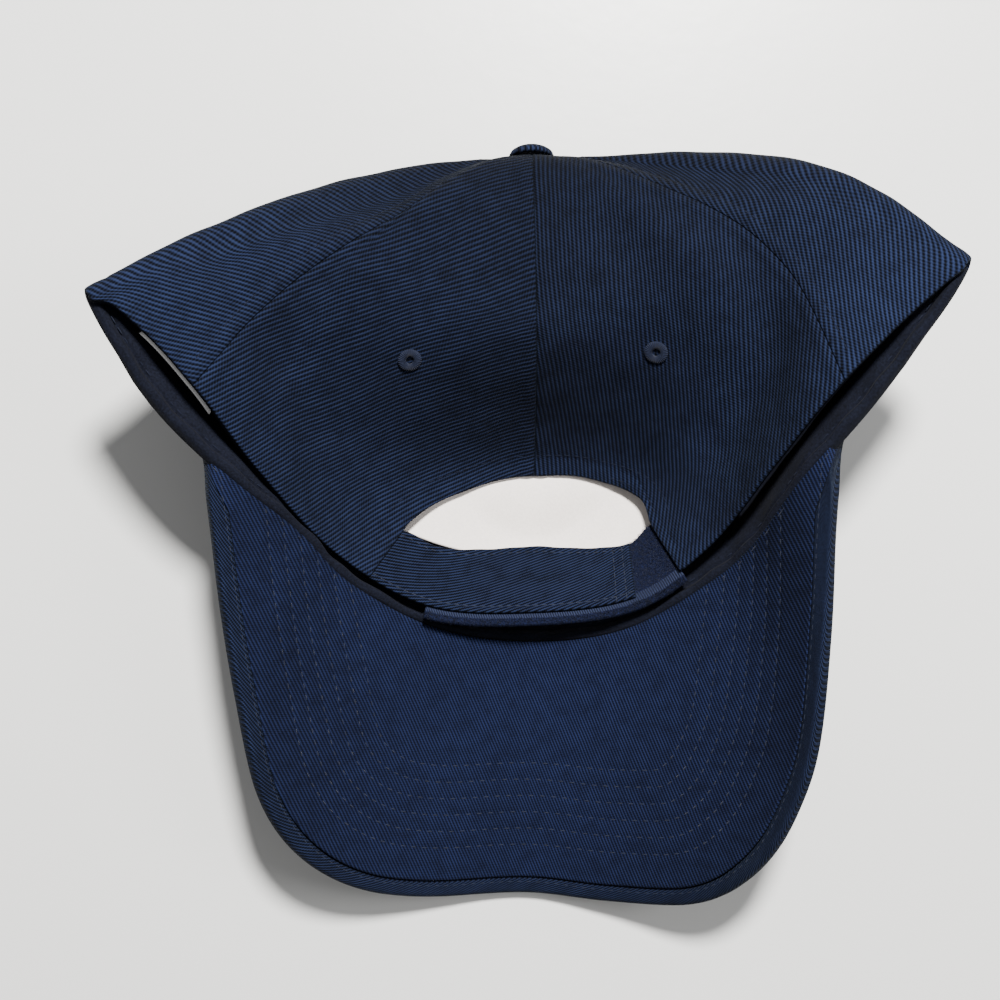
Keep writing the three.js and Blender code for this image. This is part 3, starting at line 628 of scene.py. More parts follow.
# Painted shade: the crown's cloth is darker towards the button and paler near the rim: metres up from
# it, and the tones there.
BUTTON_SHADE_SPAN = (0.015, 0.105)
BUTTON_SHADE_TONES = (1.08, 0.42)
STRAP_PITCH = 0.00086
FINE_PITCH = 0.00074


# Stitches.


def even_places(path, pitch):
    """Indices, as fractions, of places spaced evenly along a path of points."""
    run = path_run(path)
    count = int(run[-1] / pitch - 1)
    want = pitch * (0.5 + np.arange(max(count, 0) + 0.5))
    return np.interp(want, run, np.arange(len(path)))


def sample(rows, place):
    low = np.clip(place.astype(int), 0, len(rows) - 2)
    share = (place - low)[:, None]
    return rows[low] * (1 - share) + rows[low + 1] * share


def stitches(name, paths, material, pitch, length, radius, sink):
    """Short rounded threads along paths, each a row of points with the cloth's way out."""
    points, faces = [], []
    rings = np.array([(-0.5, 0.15), (-0.42, 0.8), (-0.2, 1), (0.2, 1), (0.42, 0.8), (0.5, 0.15)])
    arch = np.array([-0.9, -0.1, 0.25, 0.25, -0.1, -0.9])
    angles = np.linspace(0, 2 * np.pi, 6, endpoint=False)
    for path, normal in paths:
        place = even_places(path, pitch)
        if not len(place):
            continue
        centre, out = sample(path, place), unit(sample(normal, place))
        along = unit(sample(path, place + 0.4) - sample(path, place - 0.4))
        side = unit(np.cross(out, along))
        for c, o, a, w in zip(centre, out, along, side):
            first = len(points) * len(rings) * len(angles)
            ring = [c + a * x * length + o * (radius * (0.35 + h) - sink)
                    + radius * r * (np.cos(t) * w + 0.8 * np.sin(t) * o)
                    for (x, r), h in zip(rings, arch) for t in angles]
            points.append(np.array(ring))
            faces.append(grid_faces(len(rings), len(angles), first=first, around=True))
            for end in (0, len(rings) - 1):
                cap = first + end * len(angles) + np.arange(len(angles))
                faces.append([tuple(cap if end else cap[::-1])])
    flat = [tuple(f) for part in faces for f in part]
    return add_mesh(name, np.concatenate(points), flat, material, None, None)


def on_crown(turn, climb):
    """A path on the crown's outer face, with the way out of the cloth."""
    point, _, _, normal = crown_frame(turn, climb)
    sink = valley_depth(point) * np.clip(climb * PANEL_REACH / VALLEY_START, 0, 1)
    return moved(point, normal, CLOTH_WALL / 2 - sink), normal


def beside_seam(turn, side, gap, first, last):
    """A path that keeps a gap in millimetres from a seam's line, on one side of it."""
    climb = np.linspace(first, last, 160)
    here = crown_point(turn, climb)
    beside = crown_point(turn + side, climb)
    step = gap / np.maximum(np.linalg.norm(beside - here, axis=-1), 0.05)
    return on_crown(turn + side * step, climb)


# Crown panels.


def opening_edge(opening, share):
    """Turn and climb along a back panel's lower edge: opening, strap seam, then rim."""
    arch = np.array(opening[:-1], float)
    corner = np.array(opening[-1], float)
    side = math.copysign(1, corner[0])
    arch_share, seam_share = 0.4, 0.52
    knots = np.linspace(0, arch_share, len(arch))
    slopes = np.gradient(arch, knots, axis=0)
    slopes[0, 1] = 0
    out = np.zeros((len(share), 2))
    for n, s in enumerate(share):
        if s < arch_share:
            i = min(int(np.searchsorted(knots, s, side="right")) - 1, len(arch) - 2)
            length = knots[i + 1] - knots[i]
            t = np.array((s - knots[i]) / length)
            out[n] = hermite(arch[i], slopes[i] * length, arch[i + 1], slopes[i + 1] * length, t)
        elif s < seam_share:
            t = (s - arch_share) / (seam_share - arch_share)
            out[n] = arch[-1] * (1 - t) + corner * t
        else:
            t = (s - seam_share) / (1 - seam_share)
            out[n] = corner[0] + (side * PANEL_TURN - corner[0]) * t, 0
    return out


def laid_flat(net):
    """Lays a panel's net of points out on a plane and eases it until each stretch keeps its length."""
    middle = len(net) // 2
    across, along = run_across(net), path_run(net[middle])
    flat = np.stack([across[middle] - across, np.broadcast_to(along, across.shape)], -1)
    ids = np.arange(across.size).reshape(across.shape)
    pairs = np.concatenate([np.stack([a.ravel(), b.ravel()], -1) for a, b in (
        (ids[:-1], ids[1:]), (ids[:, :-1], ids[:, 1:]),
        (ids[:-1, :-1], ids[1:, 1:]), (ids[1:, :-1], ids[:-1, 1:]))])
    solid, flat = net.reshape(-1, 3), flat.reshape(-1, 2)
    lengths = np.linalg.norm(solid[pairs[:, 0]] - solid[pairs[:, 1]], axis=-1)
    rows = np.arange(len(pairs))
    for _ in range(EASING_STEPS):
        gap = flat[pairs[:, 0]] - flat[pairs[:, 1]]
        size = np.maximum(np.linalg.norm(gap, axis=-1), 1e-6)
        slope = np.zeros((len(pairs), len(flat), 2))
        slope[rows, pairs[:, 0]] += gap / size[:, None]
        slope[rows, pairs[:, 1]] -= gap / size[:, None]
        slope = slope.reshape(len(pairs), -1)
        pull = slope.T @ slope + 0.02 * np.eye(slope.shape[1])
        flat = flat - np.linalg.solve(pull, slope.T @ (size - lengths)).reshape(-1, 2)
    return flat


EASING_STEPS = 7


def flat_pattern(start, end):
    """A function that gives a place's spot on the panel laid flat, in millimetres."""
    turns, climbs = np.linspace(start, end, 11), np.linspace(-0.05, 1, 15)
    flat = laid_flat(crown_point(turns[:, None], climbs[None, :]))

    def basis(turn, climb):
        x = 2 * (turn - start) / (end - start) - 1
        y = 2 * (climb + 0.05) / 1.05 - 1
        return legvander2d(x, y, [6, 7])

    places = (grid.ravel() for grid in np.meshgrid(turns, climbs, indexing="ij"))
    weights = np.linalg.lstsq(basis(*places), flat, rcond=None)[0]

    def spot(turn, climb):
        return basis(turn, climb) @ weights

    return spot


def panel(name, start, end, material, opening=None):
    """A crown panel from one seam's turn to the next, with a rolled lap at its seams and hem."""
    shares, ups = close_ends(74), close_ends(86)
    if opening:
        mirrored = opening[-1][0] < 0
        edge = opening_edge(opening, shares)
        tops = shares * (end if not mirrored else start)
        if mirrored:
            edge, tops = edge[::-1], tops[::-1]
    else:
        tops = start + (end - start) * shares
        edge = np.stack([tops, np.zeros_like(tops)], -1)
    turn = edge[:, :1] * (1 - ups) + tops[:, None] * ups
    climb = edge[:, 1:] * (1 - ups) + ups
    point, _, _, normal = crown_frame(turn, climb)
    across, to_base = run_across(point), run_up(point)
    to_seam = np.minimum(across, across[-1] - across)
    drop = np.maximum(roll(to_seam, 0.35), roll(to_base, 0.6))
    # Millimetres: each height, place and half width of the seam's lap and of the groove at its
    # stitches, then the same for the lower hem.
    lap = 0.2 * mound(to_seam, 1.9, 1.1) - 0.14 * mound(to_seam, 3.7, 0.4)
    hem = 0.16 * mound(to_base, 2.2, 1.6) - 0.16 * mound(to_base, 5.6, 0.4)
    lap *= np.clip(across[-1] / 30, 0, 1)
    sink = valley_depth(point) * np.clip(to_base / VALLEY_START, 0, 1)
    top = moved(point, normal, CLOTH_WALL / 2 - drop + lap + hem - sink)
    bottom = moved(point, -normal, CLOTH_WALL / 2 - drop + sink)
    for face in (top, bottom):
        face[..., 2] = np.maximum(face[..., 2], 0)
    return slab(name, top, bottom, material, flat_pattern(start, end)(turn, climb))


def layer(name, turns, climbs, top, wall, material, swell=0.0):
    """A cloth that follows the crown at a depth below its outer face. climbs is one row a turn."""
    point, _, _, normal = crown_frame(turns[:, None], climbs)
    side, ahead = point[..., 0], point[..., 1] - SWELL_PLACE
    rise = 1 + (side / SWELL_CUP) ** 2
    fall = (side / SWELL_HALF_WIDTH) ** 4 + (ahead / SWELL_HALF_LENGTH) ** 2
    point[..., 2] += swell * rise * np.exp(-fall)
    across, up, to_edge = edge_runs(point)
    drop = roll(to_edge, 0.35)
    outer = moved(point, normal, CLOTH_WALL / 2 - top - drop)
    inner = moved(point, normal, CLOTH_WALL / 2 - top - wall + drop)
    return slab(name, outer, inner, material, np.stack([across, up], -1))


# Where the buckram swells: this far up from the rim, more to the sides, over these half sizes.
SWELL_PLACE = 40.0
SWELL_CUP = 23.0
SWELL_HALF_WIDTH = 36.0
SWELL_HALF_LENGTH = 14.0
EYELETS = [("eyelet_back_left", 25.4, 0.55), ("eyelet_back_right", -26.0, 0.55)]
EYELET_HOLE = 1.15


def punched(piece, turn, climb):
    """Cuts an eyelet's round hole through a panel."""
    place, _, _, normal = (a.reshape(3) for a in crown_frame([turn], [climb]))
    sides = 40
    drill = lathe([(EYELET_HOLE, -4.0), (EYELET_HOLE, 4.0)], sides)
    points = stood(drill, place, normal).reshape(-1, 3)
    faces = [tuple(f) for f in grid_faces(2, sides, around=True)]
    faces += [tuple(range(sides)), tuple(range(2 * sides - 1, sides - 1, -1))]
    bit = add_mesh("eyelet_bit", points, faces, piece.data.materials[0], None)
    cut = piece.modifiers.new("hole", "BOOLEAN")
    cut.operation = "DIFFERENCE"
    cut.solver = "EXACT"
    cut.object = bit
    bpy.context.view_layer.update()
    shape = bpy.data.meshes.new_from_object(
        piece.evaluated_get(bpy.context.evaluated_depsgraph_get()))
    piece.modifiers.clear()
    piece.data = shape
    bpy.data.objects.remove(bit)


# Each panel: the turn of its first seam, its ribs' angle and the opening in its lower edge.
PANELS = [
    ("panel_back_left", 0, 42, OPENING_LEFT), ("panel_back_right", -PANEL_TURN, 24, OPENING_RIGHT),
    ("panel_side_left", PANEL_TURN, 40, None), ("panel_front_left", 2 * PANEL_TURN, 50, None),
    ("panel_front_right", 3 * PANEL_TURN, 30, None), ("panel_side_right", 4 * PANEL_TURN, 49, None),
]


def crown():
    for name, start, rib_angle, opening in PANELS:
        end = start + PANEL_TURN
        cloth = twill(name + "_twill", NAVY, RIB_PITCH, rib_angle, shade_to_button=True)
        piece = panel(name, start, end, cloth, opening)
        for _, turn, climb in EYELETS:
            if start < turn < end:
                punched(piece, turn, climb)


SEAM_STITCH_GAP = 3.6
OPENING_STITCH_GAPS = (2.0, 6.2)


def opening_path(opening, gap):
    """A path above a back panel's lower edge, a gap in millimetres up from it."""
    edge = opening_edge(opening, np.linspace(0, 0.4, 90, endpoint=False))
    here, _, upward, _ = crown_frame(edge[:, 0], edge[:, 1])
    tangent = unit(np.gradient(here, axis=0))
    inward = unit(upward - tangent * np.sum(upward * tangent, -1, keepdims=True))
    target = here + inward * gap
    turn, climb = edge[:, 0].copy(), edge[:, 1].copy()
    for _ in range(6):
        now = crown_point(turn, climb)
        by_turn = (crown_point(turn + 0.2, climb) - now) / 0.2
        by_climb = (crown_point(turn, climb + 0.004) - now) / 0.004
        miss = target - now
        a = np.sum(by_turn * by_turn, -1)
        b = np.sum(by_turn * by_climb, -1)
        c = np.sum(by_climb * by_climb, -1)
        d, e = np.sum(miss * by_turn, -1), np.sum(miss * by_climb, -1)
        spread = np.maximum(a * c - b * b, 1e-6)
        turn += np.clip((d * c - e * b) / spread, -2, 2)
        climb += np.clip((a * e - b * d) / spread, -0.03, 0.03)
    return on_crown(turn, climb)


def crown_stitches(thread):
    seams = [(60, 1), (-60, -1)] + [(turn, side) for turn in (120, 240, 180) for side in (-1, 1)]
    paths = [beside_seam(turn, side, SEAM_STITCH_GAP, 0.02, 0.93) for turn, side in seams]
    stitches("seam_stitches", paths, thread, 2.4, 1.7, 0.11, 0.1)
    paths = [opening_path(opening, gap) for opening in (OPENING_LEFT, OPENING_RIGHT)
             for gap in OPENING_STITCH_GAPS]
    stitches("opening_stitches", paths, thread, 2.4, 1.7, 0.12, 0.08)


STIFFENER_TURNS = (125.0, 235.0)
STIFFENER_TOP = 13 / 14
STIFFENER_GAP = 0.3
BAND_TURNS = (36.0, 324.0)
BAND_STITCH_GAP = 3.1
# How far the band's edge stands past the crown's edge round the front, where it covers it.
BAND_TURNOVER = 0.6


def band_height(across, up):
    """How far the sweatband stands proud: a rolled edge, a groove at its stitches, and ripples."""
    edge_roll = 0.9 * mound(up, 1.3, 0.9)
    groove = -0.7 * mound(up, BAND_STITCH_GAP, 0.42)
    ripple = 0.35 * np.sin(across / 2.1 + 0.8 * np.sin(across / 9)) * mound(up, 3, 3)
    return edge_roll + groove + ripple


def sweatband(top, cloth):
    turns = np.linspace(*BAND_TURNS, 560)
    reach = climb_at(turns, BAND_WIDTH)
    shares = np.concatenate([np.linspace(0, 0.3, 26), np.linspace(0.3, 1, 14)[1:]])
    turned = np.clip((90 - np.abs(turns - 180)) / 8, 0, 1)
    first = -climb_at(turns, BAND_TURNOVER) * turned
    point, _, _, normal = crown_frame(turns[:, None], between(first, reach, shares))
    across, up = run_across(point), run_up(point)
    drop = roll(np.minimum(up, up[:, -1:] - up), 0.45)
    over = top * turned[:, None] * (up < BAND_TURNOVER)
    outer = moved(point, normal, CLOTH_WALL / 2 - top + over - drop)
    past_label = np.clip((turns - LABEL_TURNS[1] - 5) / 8, 0, 1)[:, None]
    proud = band_height(across[:, :1] + 0 * across, up) * (0.35 + 0.65 * past_label)
    inner = moved(point, normal, CLOTH_WALL / 2 - top - BAND_WALL - proud + drop)
    return slab("sweatband", outer, inner, cloth, np.stack([across, up], -1))


def band_stitches(top, thread):
    turns = np.linspace(BAND_TURNS[0] + 2, BAND_TURNS[1] - 2, 900)
    point, _, _, normal = crown_frame(turns, climb_at(turns, BAND_STITCH_GAP))
    path = point + normal * (CLOTH_WALL / 2 - top - BAND_WALL + 0.45)
    stitches("band_stitches", [(path, -normal)], thread, 2.9, 2.0, 0.16, 0.0)


def lining():
    lining_top = CLOTH_WALL + LAYER_GAP
    turns = np.linspace(*STIFFENER_TURNS, 90)
    start = climb_at(turns, BAND_WIDTH + STIFFENER_GAP)
    climbs = between(start, STIFFENER_TOP, close_ends(50))
    buckram = plain_cloth("buckram_weave", (0.95, 0.872, 0.815), 1500.0, 0.00006, 0.0, 0.05, 0.95)
    piece = layer("stiffener", turns, climbs, lining_top, STIFFENER_WALL, buckram, swell=2.2)

    cotton = plain_cloth("band_weave", (0.0036, 0.0044, 0.0092), 1800.0, 0.00014, 0.01, 0.5)
    sweatband(lining_top, cotton)

    turns = np.linspace(*LABEL_TURNS, 40)
    low = -climb_at(turns, LABEL_OVERHANG)
    high = climb_at(turns, LABEL_WIDTH)
    climbs = between(low, high, close_ends(12))
    satin = plain_cloth("label_ribbon", (0.93, 0.93, 0.94), 900.0, 0.00004, 0.0, 0.04, 0.55)
    piece = layer("label", turns, climbs, lining_top + BAND_WALL + LAYER_GAP, LABEL_WALL, satin)


# Back strap.


def strap_grid(opening, free_turn, overhang, shares, ups):
    """Turns and climbs of one strap half, whose upper edge meets the opening at its sewn end."""
    seam, corner = np.array(opening[-2], float), np.array(opening[-1], float)
    turns = corner[0] + (free_turn - corner[0]) * shares
    low = -climb_at(turns, overhang) if overhang else np.zeros_like(turns)
    meet = (seam[1] + 0.006 - STRAP_CLIMB) * mound(shares, 0, 0.1)
    high = STRAP_CLIMB + meet + 0.0012 * np.sin(shares * 34) * np.sin(shares * 11 + 1)
    climbs = between(low, high, ups)
    slope = (corner[0] - seam[0]) / seam[1]
    return turns[:, None] - slope * climbs * (1 - shares)[:, None], climbs


def strap_faces(turn, climbs, top, wall, proud, edge):
    """Outer and inner faces of a strap half, its way out and its cloth's own coordinates."""
    point, _, _, normal = crown_frame(turn, climbs)
    across, up, to_edge = edge_runs(point)
    drop = roll(to_edge, edge)
    outer = moved(point, normal, CLOTH_WALL / 2 - top - drop + proud(across, up, to_edge))
    inner = moved(point, normal, CLOTH_WALL / 2 - top - wall + drop)
    return outer, inner, normal, np.stack([across, up], -1)


SELVAGE = (1.7, 4.2)
SELVAGE_RIB = 0.62


def tape_height(across, up, to_edge):
    """Ribs along the tape's woven edge and an uneven pile over the rest of it."""
    on_selvage = np.clip((up - SELVAGE[0]) / 0.3, 0, 1) * np.clip((SELVAGE[1] - up) / 0.3, 0, 1)
    along = across[:, :1] + 0 * across
    weave = 0.16 + 0.07 * np.cos(2 * np.pi * along / SELVAGE_RIB)
    scatter = np.random.default_rng(5).random(across.shape)
    pile = 0.22 * scatter * np.clip(to_edge / 0.4, 0, 1)
    return on_selvage * weave + (1 - on_selvage) * pile


def strap_hem(across, up, to_edge):
    """A flat turned hem whose stitch line is drawn in."""
    return -0.16 * mound(to_edge, 1.9, 0.4) + 0.05 * mound(to_edge, 1, 0.6)


def fibres(name, roots, normals, material, length, count, seed):
    """Fine curved hairs that stand on a patch of points."""
    chance = np.random.default_rng(seed)
    flat, out = roots.reshape(-1, 3), normals.reshape(-1, 3)
    pick = chance.integers(0, len(flat), count)
    lean = unit(chance.normal(size=(count, 3)))
    way = unit(out[pick] + 0.9 * lean)
    bend = unit(chance.normal(size=(count, 3)))
    size = length * chance.uniform(0.5, 1.2, count)[:, None]
    wide = unit(np.cross(way, bend)) * 0.035
    start = flat[pick] + chance.normal(size=(count, 3)) * 0.12
    middle = start + way * size * 0.5 + bend * size * 0.12
    tip = start + way * size * 0.85 + bend * size * 0.45
    points = np.stack([start - wide, start + wide, middle - wide * 0.8, middle + wide * 0.8, tip], 1)
    base = 5 * np.arange(count)[:, None]
    quads = base + np.array([0, 1, 3, 2])
    ends = base + np.array([2, 3, 4])
    faces = [tuple(f) for f in quads] + [tuple(f) for f in ends]
    return add_mesh(name, points.reshape(-1, 3), faces, material, None)


def straps(thread):
    cloth = twill("strap_twill", NAVY, STRAP_PITCH, 67, sharp=0.12)
    turn, climbs = strap_grid(OPENING_LEFT, OUTER_STRAP_END, 0, close_ends(110), close_ends(34))
    outer, inner, normal, uv = strap_faces(turn, climbs, 0, STRAP_WALL, strap_hem, 0.5)
    slab("strap_outer", outer, inner, cloth, uv)

    up, across = uv[60, :, 1], uv[:, 17, 0]
    rows = [np.argmin(np.abs(up - place)) for place in (1.9, up[-1] - 1.9)]
    columns = [np.argmin(np.abs(across - (across[-1] - gap))) for gap in (1.9, 4.6)]
    lines = [(outer[:, row], normal[:, row]) for row in rows]
    lines += [(outer[column], normal[column]) for column in columns]
    stitches("strap_stitches", lines, thread, 2.2, 1.6, 0.12, 0.04)

    tape = tape_cloth()
    shares = np.linspace(0, 1, 760)
    turn, climbs = strap_grid(OPENING_RIGHT, LOOP_STRAP_END, LOOP_OVERHANG, shares,
                              np.linspace(0, 1, 96))
    outer, inner, normal, uv = strap_faces(turn, climbs, STRAP_WALL + LAYER_GAP - 0.5, LOOP_WALL,
                                           tape_height, 0.35)
    slab("strap_loop", outer, inner, tape, uv)
    open_pile = (turn < OUTER_STRAP_END + 0.6) & (uv[..., 1] > SELVAGE[1])
    low_pile = uv[..., 1] < SELVAGE[0]
    # The nap on the tape's low edge gets a darker colour than the open nap: painted shade.
    for name, patch, colour, hair, sheen, length, seed in (
            ("tape_nap", open_pile, (0.0046, 0.0068, 0.0215), "nap_hair", 0.1, 0.75, 11),
            ("tape_edge_nap", low_pile, (0.0026, 0.0038, 0.0105), "edge_hair_painted_shade", 0.05, 0.7, 12)):
        cloth = plain_cloth(hair, colour, 3000.0, 0.00001, sheen, 0.4)
        piece = fibres(name, outer[patch], normal[patch], cloth, length, 5200, seed)


def tape_cloth():
    """Dark looped pile, with a paler woven edge."""
    nodes = Nodes("strap_nap")
    uv = nodes.add("ShaderNodeUVMap", uv_map="cloth").outputs[0]
    across, up, _ = nodes.split(uv)
    low = nodes.ramp(up, SELVAGE[0] / 1000, SELVAGE[0] / 1000 + 0.0002)
    high = nodes.ramp(up, SELVAGE[1] / 1000, SELVAGE[1] / 1000 - 0.0002)
    woven = nodes.times(low, high)
    rib = nodes.wave(nodes.times(across, 2 * math.pi * 1000 / SELVAGE_RIB), "COSINE")
    grain = nodes.noise(uv, 1900.0, 3.0, 0.7)
    pile_tone = nodes.ramp(grain, 0.35, 0.68, 0.35, 2.0)
    # The woven edge's tone follows its ribs: painted shade between them and painted light on them.
    weave_tone = nodes.times(nodes.ramp(rib, 0.1, 0.9, 0.7, 2.6),
                             nodes.ramp(grain, 0.3, 0.7, 0.8, 1.2))
    pile = tinted(nodes, (0.0040, 0.0060, 0.0200), pile_tone)
    weave = tinted(nodes, (0.0072, 0.0094, 0.0205), weave_tone)
    return nodes.finish({"Base Color": nodes.mix(woven, pile, weave), "Roughness": 0.95,
                         "Specular IOR Level": 0.1, "Normal": nodes.bump(grain, 0.0002)})


# Peak.


def smooth_line(knots, count):
    """Evenly spaced points on a centripetal curve through the knots."""
    knots = np.array(knots, float)
    first, last = 2 * knots[0] - knots[1], 2 * knots[-1] - knots[-2]
    padded = np.concatenate([[first], knots, [last]])
    out = []
    for four in zip(padded, padded[1:], padded[2:], padded[3:]):
        t = np.cumsum([0] + [np.linalg.norm(q - p) ** 0.5 for p, q in zip(four, four[1:])])
        s = np.linspace(t[1], t[2], 24, endpoint=False)[:, None]
        points = four
        for spans in ((0, 1), (1, 2), (2, 3)), ((0, 2), (1, 3)), ((1, 2),):
            points = [a + (b - a) * (s - t[i]) / (t[j] - t[i])
                      for a, b, (i, j) in zip(points, points[1:], spans)]
        out.append(points[0])
    line = np.concatenate(out + [knots[-1:]])
    run = path_run(line)
    want = np.linspace(0, run[-1], count)
    return np.stack([np.interp(want, run, line[:, k]) for k in range(line.shape[1])], -1)


PEAK_OUTLINE = smooth_line([(PEAK_CENTRE + out * PEAK_HALF_WIDTH, -forward * PEAK_REACH, 0)
                            for out, forward in PEAK_EDGE], 1201)


# How far the peak's two corners run on up the crown and down from it, out of sight.
CORNER_TUCK = 3.2
CORNER_DROP = 1.9


def peak_curl(x):
    """How high the peak's edge stands off the table at a place across."""
    return PEAK_SIDE_RISE * ((x - PEAK_CENTRE) / PEAK_HALF_WIDTH) ** 2


def peak_point(across, along):
    """The middle of the peak's board, from its root (0) to its edge (1)."""
    across, along = np.broadcast_arrays(np.asarray(across, float), np.asarray(along, float))
    turn = PEAK_TURNS[0] + (PEAK_TURNS[1] - PEAK_TURNS[0]) * across
    rim, _, upward, outward = crown_frame(turn, np.zeros_like(turn))
    level = upward.copy()
    level[..., 2] = 0
    root = rim - unit(level) * ROOT_GAP
    place = np.clip(across, 0, 1) * (len(PEAK_OUTLINE) - 1)
    edge = np.stack([np.interp(place, np.arange(len(PEAK_OUTLINE)), PEAK_OUTLINE[:, k])
                     for k in range(3)], -1)
    point = root * (1 - along[..., None]) + edge * along[..., None]
    lift = root[..., 2] - ROOT_DROP - peak_curl(root[..., 0])
    point[..., 2] = peak_curl(point[..., 0]) + lift * (1 - along) + PEAK_WALL / 2 * along
    under = (1 - corner_share(across))[..., None]
    return point + (upward * CORNER_TUCK + outward * CORNER_DROP) * under


def peak_frame(across, along):
    step = 0.002
    low = np.clip(across, step, 1 - step)
    sideways = peak_point(low + step, along) - peak_point(low - step, along)
    near, far = np.clip(along - 0.02, 0, 0.96), np.clip(along + 0.02, 0.04, 1)
    calm = np.clip(across, 0.03, 0.97)
    forward = peak_point(calm, far) - peak_point(calm, near)
    level = peak_point(calm + step, along) - peak_point(calm - step, along)
    normal = unit(np.cross(forward, level))
    return peak_point(across, along), unit(sideways), unit(forward), normal


def hem_start(across):
    """Share of the way to the edge at which the turned hem begins."""
    one = np.ones_like(across)
    _, sideways, forward, _ = peak_frame(across, one)
    reach = np.linalg.norm(peak_point(across, 0 * one) - peak_point(across, one), axis=-1)
    slant = np.linalg.norm(np.cross(forward, sideways), axis=-1)
    return 1 - np.minimum(0.6, PEAK_HEM / (reach * slant))


def corner_share(across, length=0.025):
    """Falls from 1 towards 0 over a share of the way across at each corner of the peak."""
    return np.clip(np.minimum(across, 1 - across) / length, 0, 1)


def root_tuck(across):
    """How far past its root the peak runs, so that it meets the crown's rim."""
    zero = np.zeros_like(across)
    reach = np.linalg.norm(peak_point(across, zero) - peak_point(across, zero + 1), axis=-1)
    return -ROOT_GAP / np.maximum(reach, 8) * (0.5 + 0.5 * corner_share(across))


def corner_cut(across):
    """How much of its reach the peak keeps, so that its two corners run into the crown's rim."""
    return 1 - 0.7 * (1 - corner_share(across, 0.03)) ** 2


def to_outline(points):
    """Distances from points to the peak's edge."""
    edge = peak_point(np.linspace(0, 1, 500), np.ones(500))
    flat = points.reshape(-1, 3)
    best = np.full(len(flat), 1e9)
    for part in np.array_split(np.arange(len(flat)), 40):
        gaps = np.linalg.norm(flat[part, None, :] - edge[None], axis=-1)
        best[part] = gaps.min(1)
    return best.reshape(points.shape[:-1])


def peak_grid(across, along):
    """Points and normals of rows from the peak's root, cut short at its corners, and edge runs."""
    along = along * corner_cut(across)[:, None]
    point, _, _, normal = peak_frame(across[:, None], along)
    return point, normal, np.linalg.norm(point - point[:, -1:], axis=-1)


def peak_board(across, hem, tuck, thick):
    """The board in its cloth, whose turned hem stands round the underside's cloth."""
    body = np.linspace(0, 1, 30)
    strip = np.array([0.02, 0.06, 0.12, 0.25, 0.4, 0.55, 0.7, 0.8, 0.88, 0.94, 0.98, 1])
    along = np.concatenate([tuck + (hem - tuck) * body, hem + (1 - hem) * strip], 1)
    point, normal, to_edge = peak_grid(across, along)
    stands = np.concatenate([np.zeros(len(body)), np.ones(len(strip))])
    rise = (PEAK_WALL / 2 + (LAYER_GAP + UNDER_WALL) * stands) * thick
    drop = roll(to_edge, 1.6)
    lip = 0.15 * roll(np.abs(to_edge - to_edge[:, len(body):len(body) + 1]), 0.6) * stands
    top = moved(point, normal, rise - drop - lip)
    bottom = moved(point, -normal, PEAK_WALL / 2 * thick - drop * 0.8 * thick)
    bottom[..., 2] = np.maximum(bottom[..., 2], 0)
    uv = np.stack([run_across(point), to_edge], -1)
    hem_cloth = twill("hem_twill", NAVY, RIB_PITCH * 0.9, 48)
    slab("peak", top, bottom, hem_cloth, uv)


def peak_pieces():
    across = np.linspace(0, 1, 221)
    hem, tuck = hem_start(across)[:, None], root_tuck(across)[:, None]
    thick = 0.45 + 0.55 * corner_share(across)[:, None]
    peak_board(across, hem, tuck, thick)

    along = tuck + (hem - HEM_GAP - tuck) * np.linspace(0, 1, 110)
    point, normal, to_edge = peak_grid(across, along)
    far = to_outline(point)
    rows = sum(mound(far, place, 0.45) for place in PEAK_ROWS)
    height = (UNDER_TOP - 0.13 * rows) * thick
    top = moved(point, normal, height - roll(to_edge, 0.2))
    bottom = moved(point, normal, (UNDER_TOP - UNDER_WALL) * thick)
    uv = point[..., :2]
    fine = twill("peak_twill", PEAK_NAVY, FINE_PITCH, -23, 0.0002, 0.2, 2.2)
    slab("peak_under", top, bottom, fine, uv)


# The stitched rows' distances from the edge, the height of the underside's face, and the share of
# the peak's reach that stays open between that cloth and the hem.
PEAK_ROWS = [13.2 + 4.3 * k for k in range(6)]
UNDER_TOP = PEAK_WALL / 2 + LAYER_GAP + UNDER_WALL
HEM_GAP = 0.005


def peak_row(distance, first, last, rise):
    """A path at a distance from the peak's outline, between two shares of the way across."""
    across = np.linspace(first, last, 260)
    near, far = np.zeros_like(across), np.ones_like(across)
    for _ in range(26):
        along = (near + far) / 2
        inside = to_outline(peak_point(across, along)) > distance
        near, far = np.where(inside, along, near), np.where(inside, far, along)
    point, _, _, normal = peak_frame(across, (near + far) / 2)
    return point + normal * rise, normal


def peak_stitches(thread):
    paths = [peak_row(distance, 0.1, 0.9, UNDER_TOP - 0.12) for distance in PEAK_ROWS]
    stitches("peak_stitches", paths, thread, 2.9, 1.5, 0.13, 0.05)
    paths = [peak_row(PEAK_HEM - 0.9, 0.02, 0.98, UNDER_TOP)]
    stitches("hem_stitches", paths, thread, 2.4, 1.6, 0.12, 0.1)


# Button and eyelets.


def button():
    cloth = twill("button_twill", NAVY, RIB_PITCH, 30)
    rows, segments = button_grid.shape[:2]
    flat = button_grid.reshape(-1, 3)
    tip, base = (BUTTON_ROOT + BUTTON_AXIS * (BUTTON_SEAT + rise) for rise in (BUTTON_DOME, 0))
    points = np.concatenate([flat, [tip, base]])
    first, last = np.arange(segments), (rows - 1) * segments + np.arange(segments)
    faces = [tuple(f) for f in grid_faces(rows, segments, around=True, flip=True)]
    faces += [(a, b, len(flat)) for a, b in zip(last, np.roll(last, -1))]
    faces += [(b, a, len(flat) + 1) for a, b in zip(first, np.roll(first, -1))]
    piece = add_mesh("button", points, faces, cloth, "button", points[:, [0, 2]])


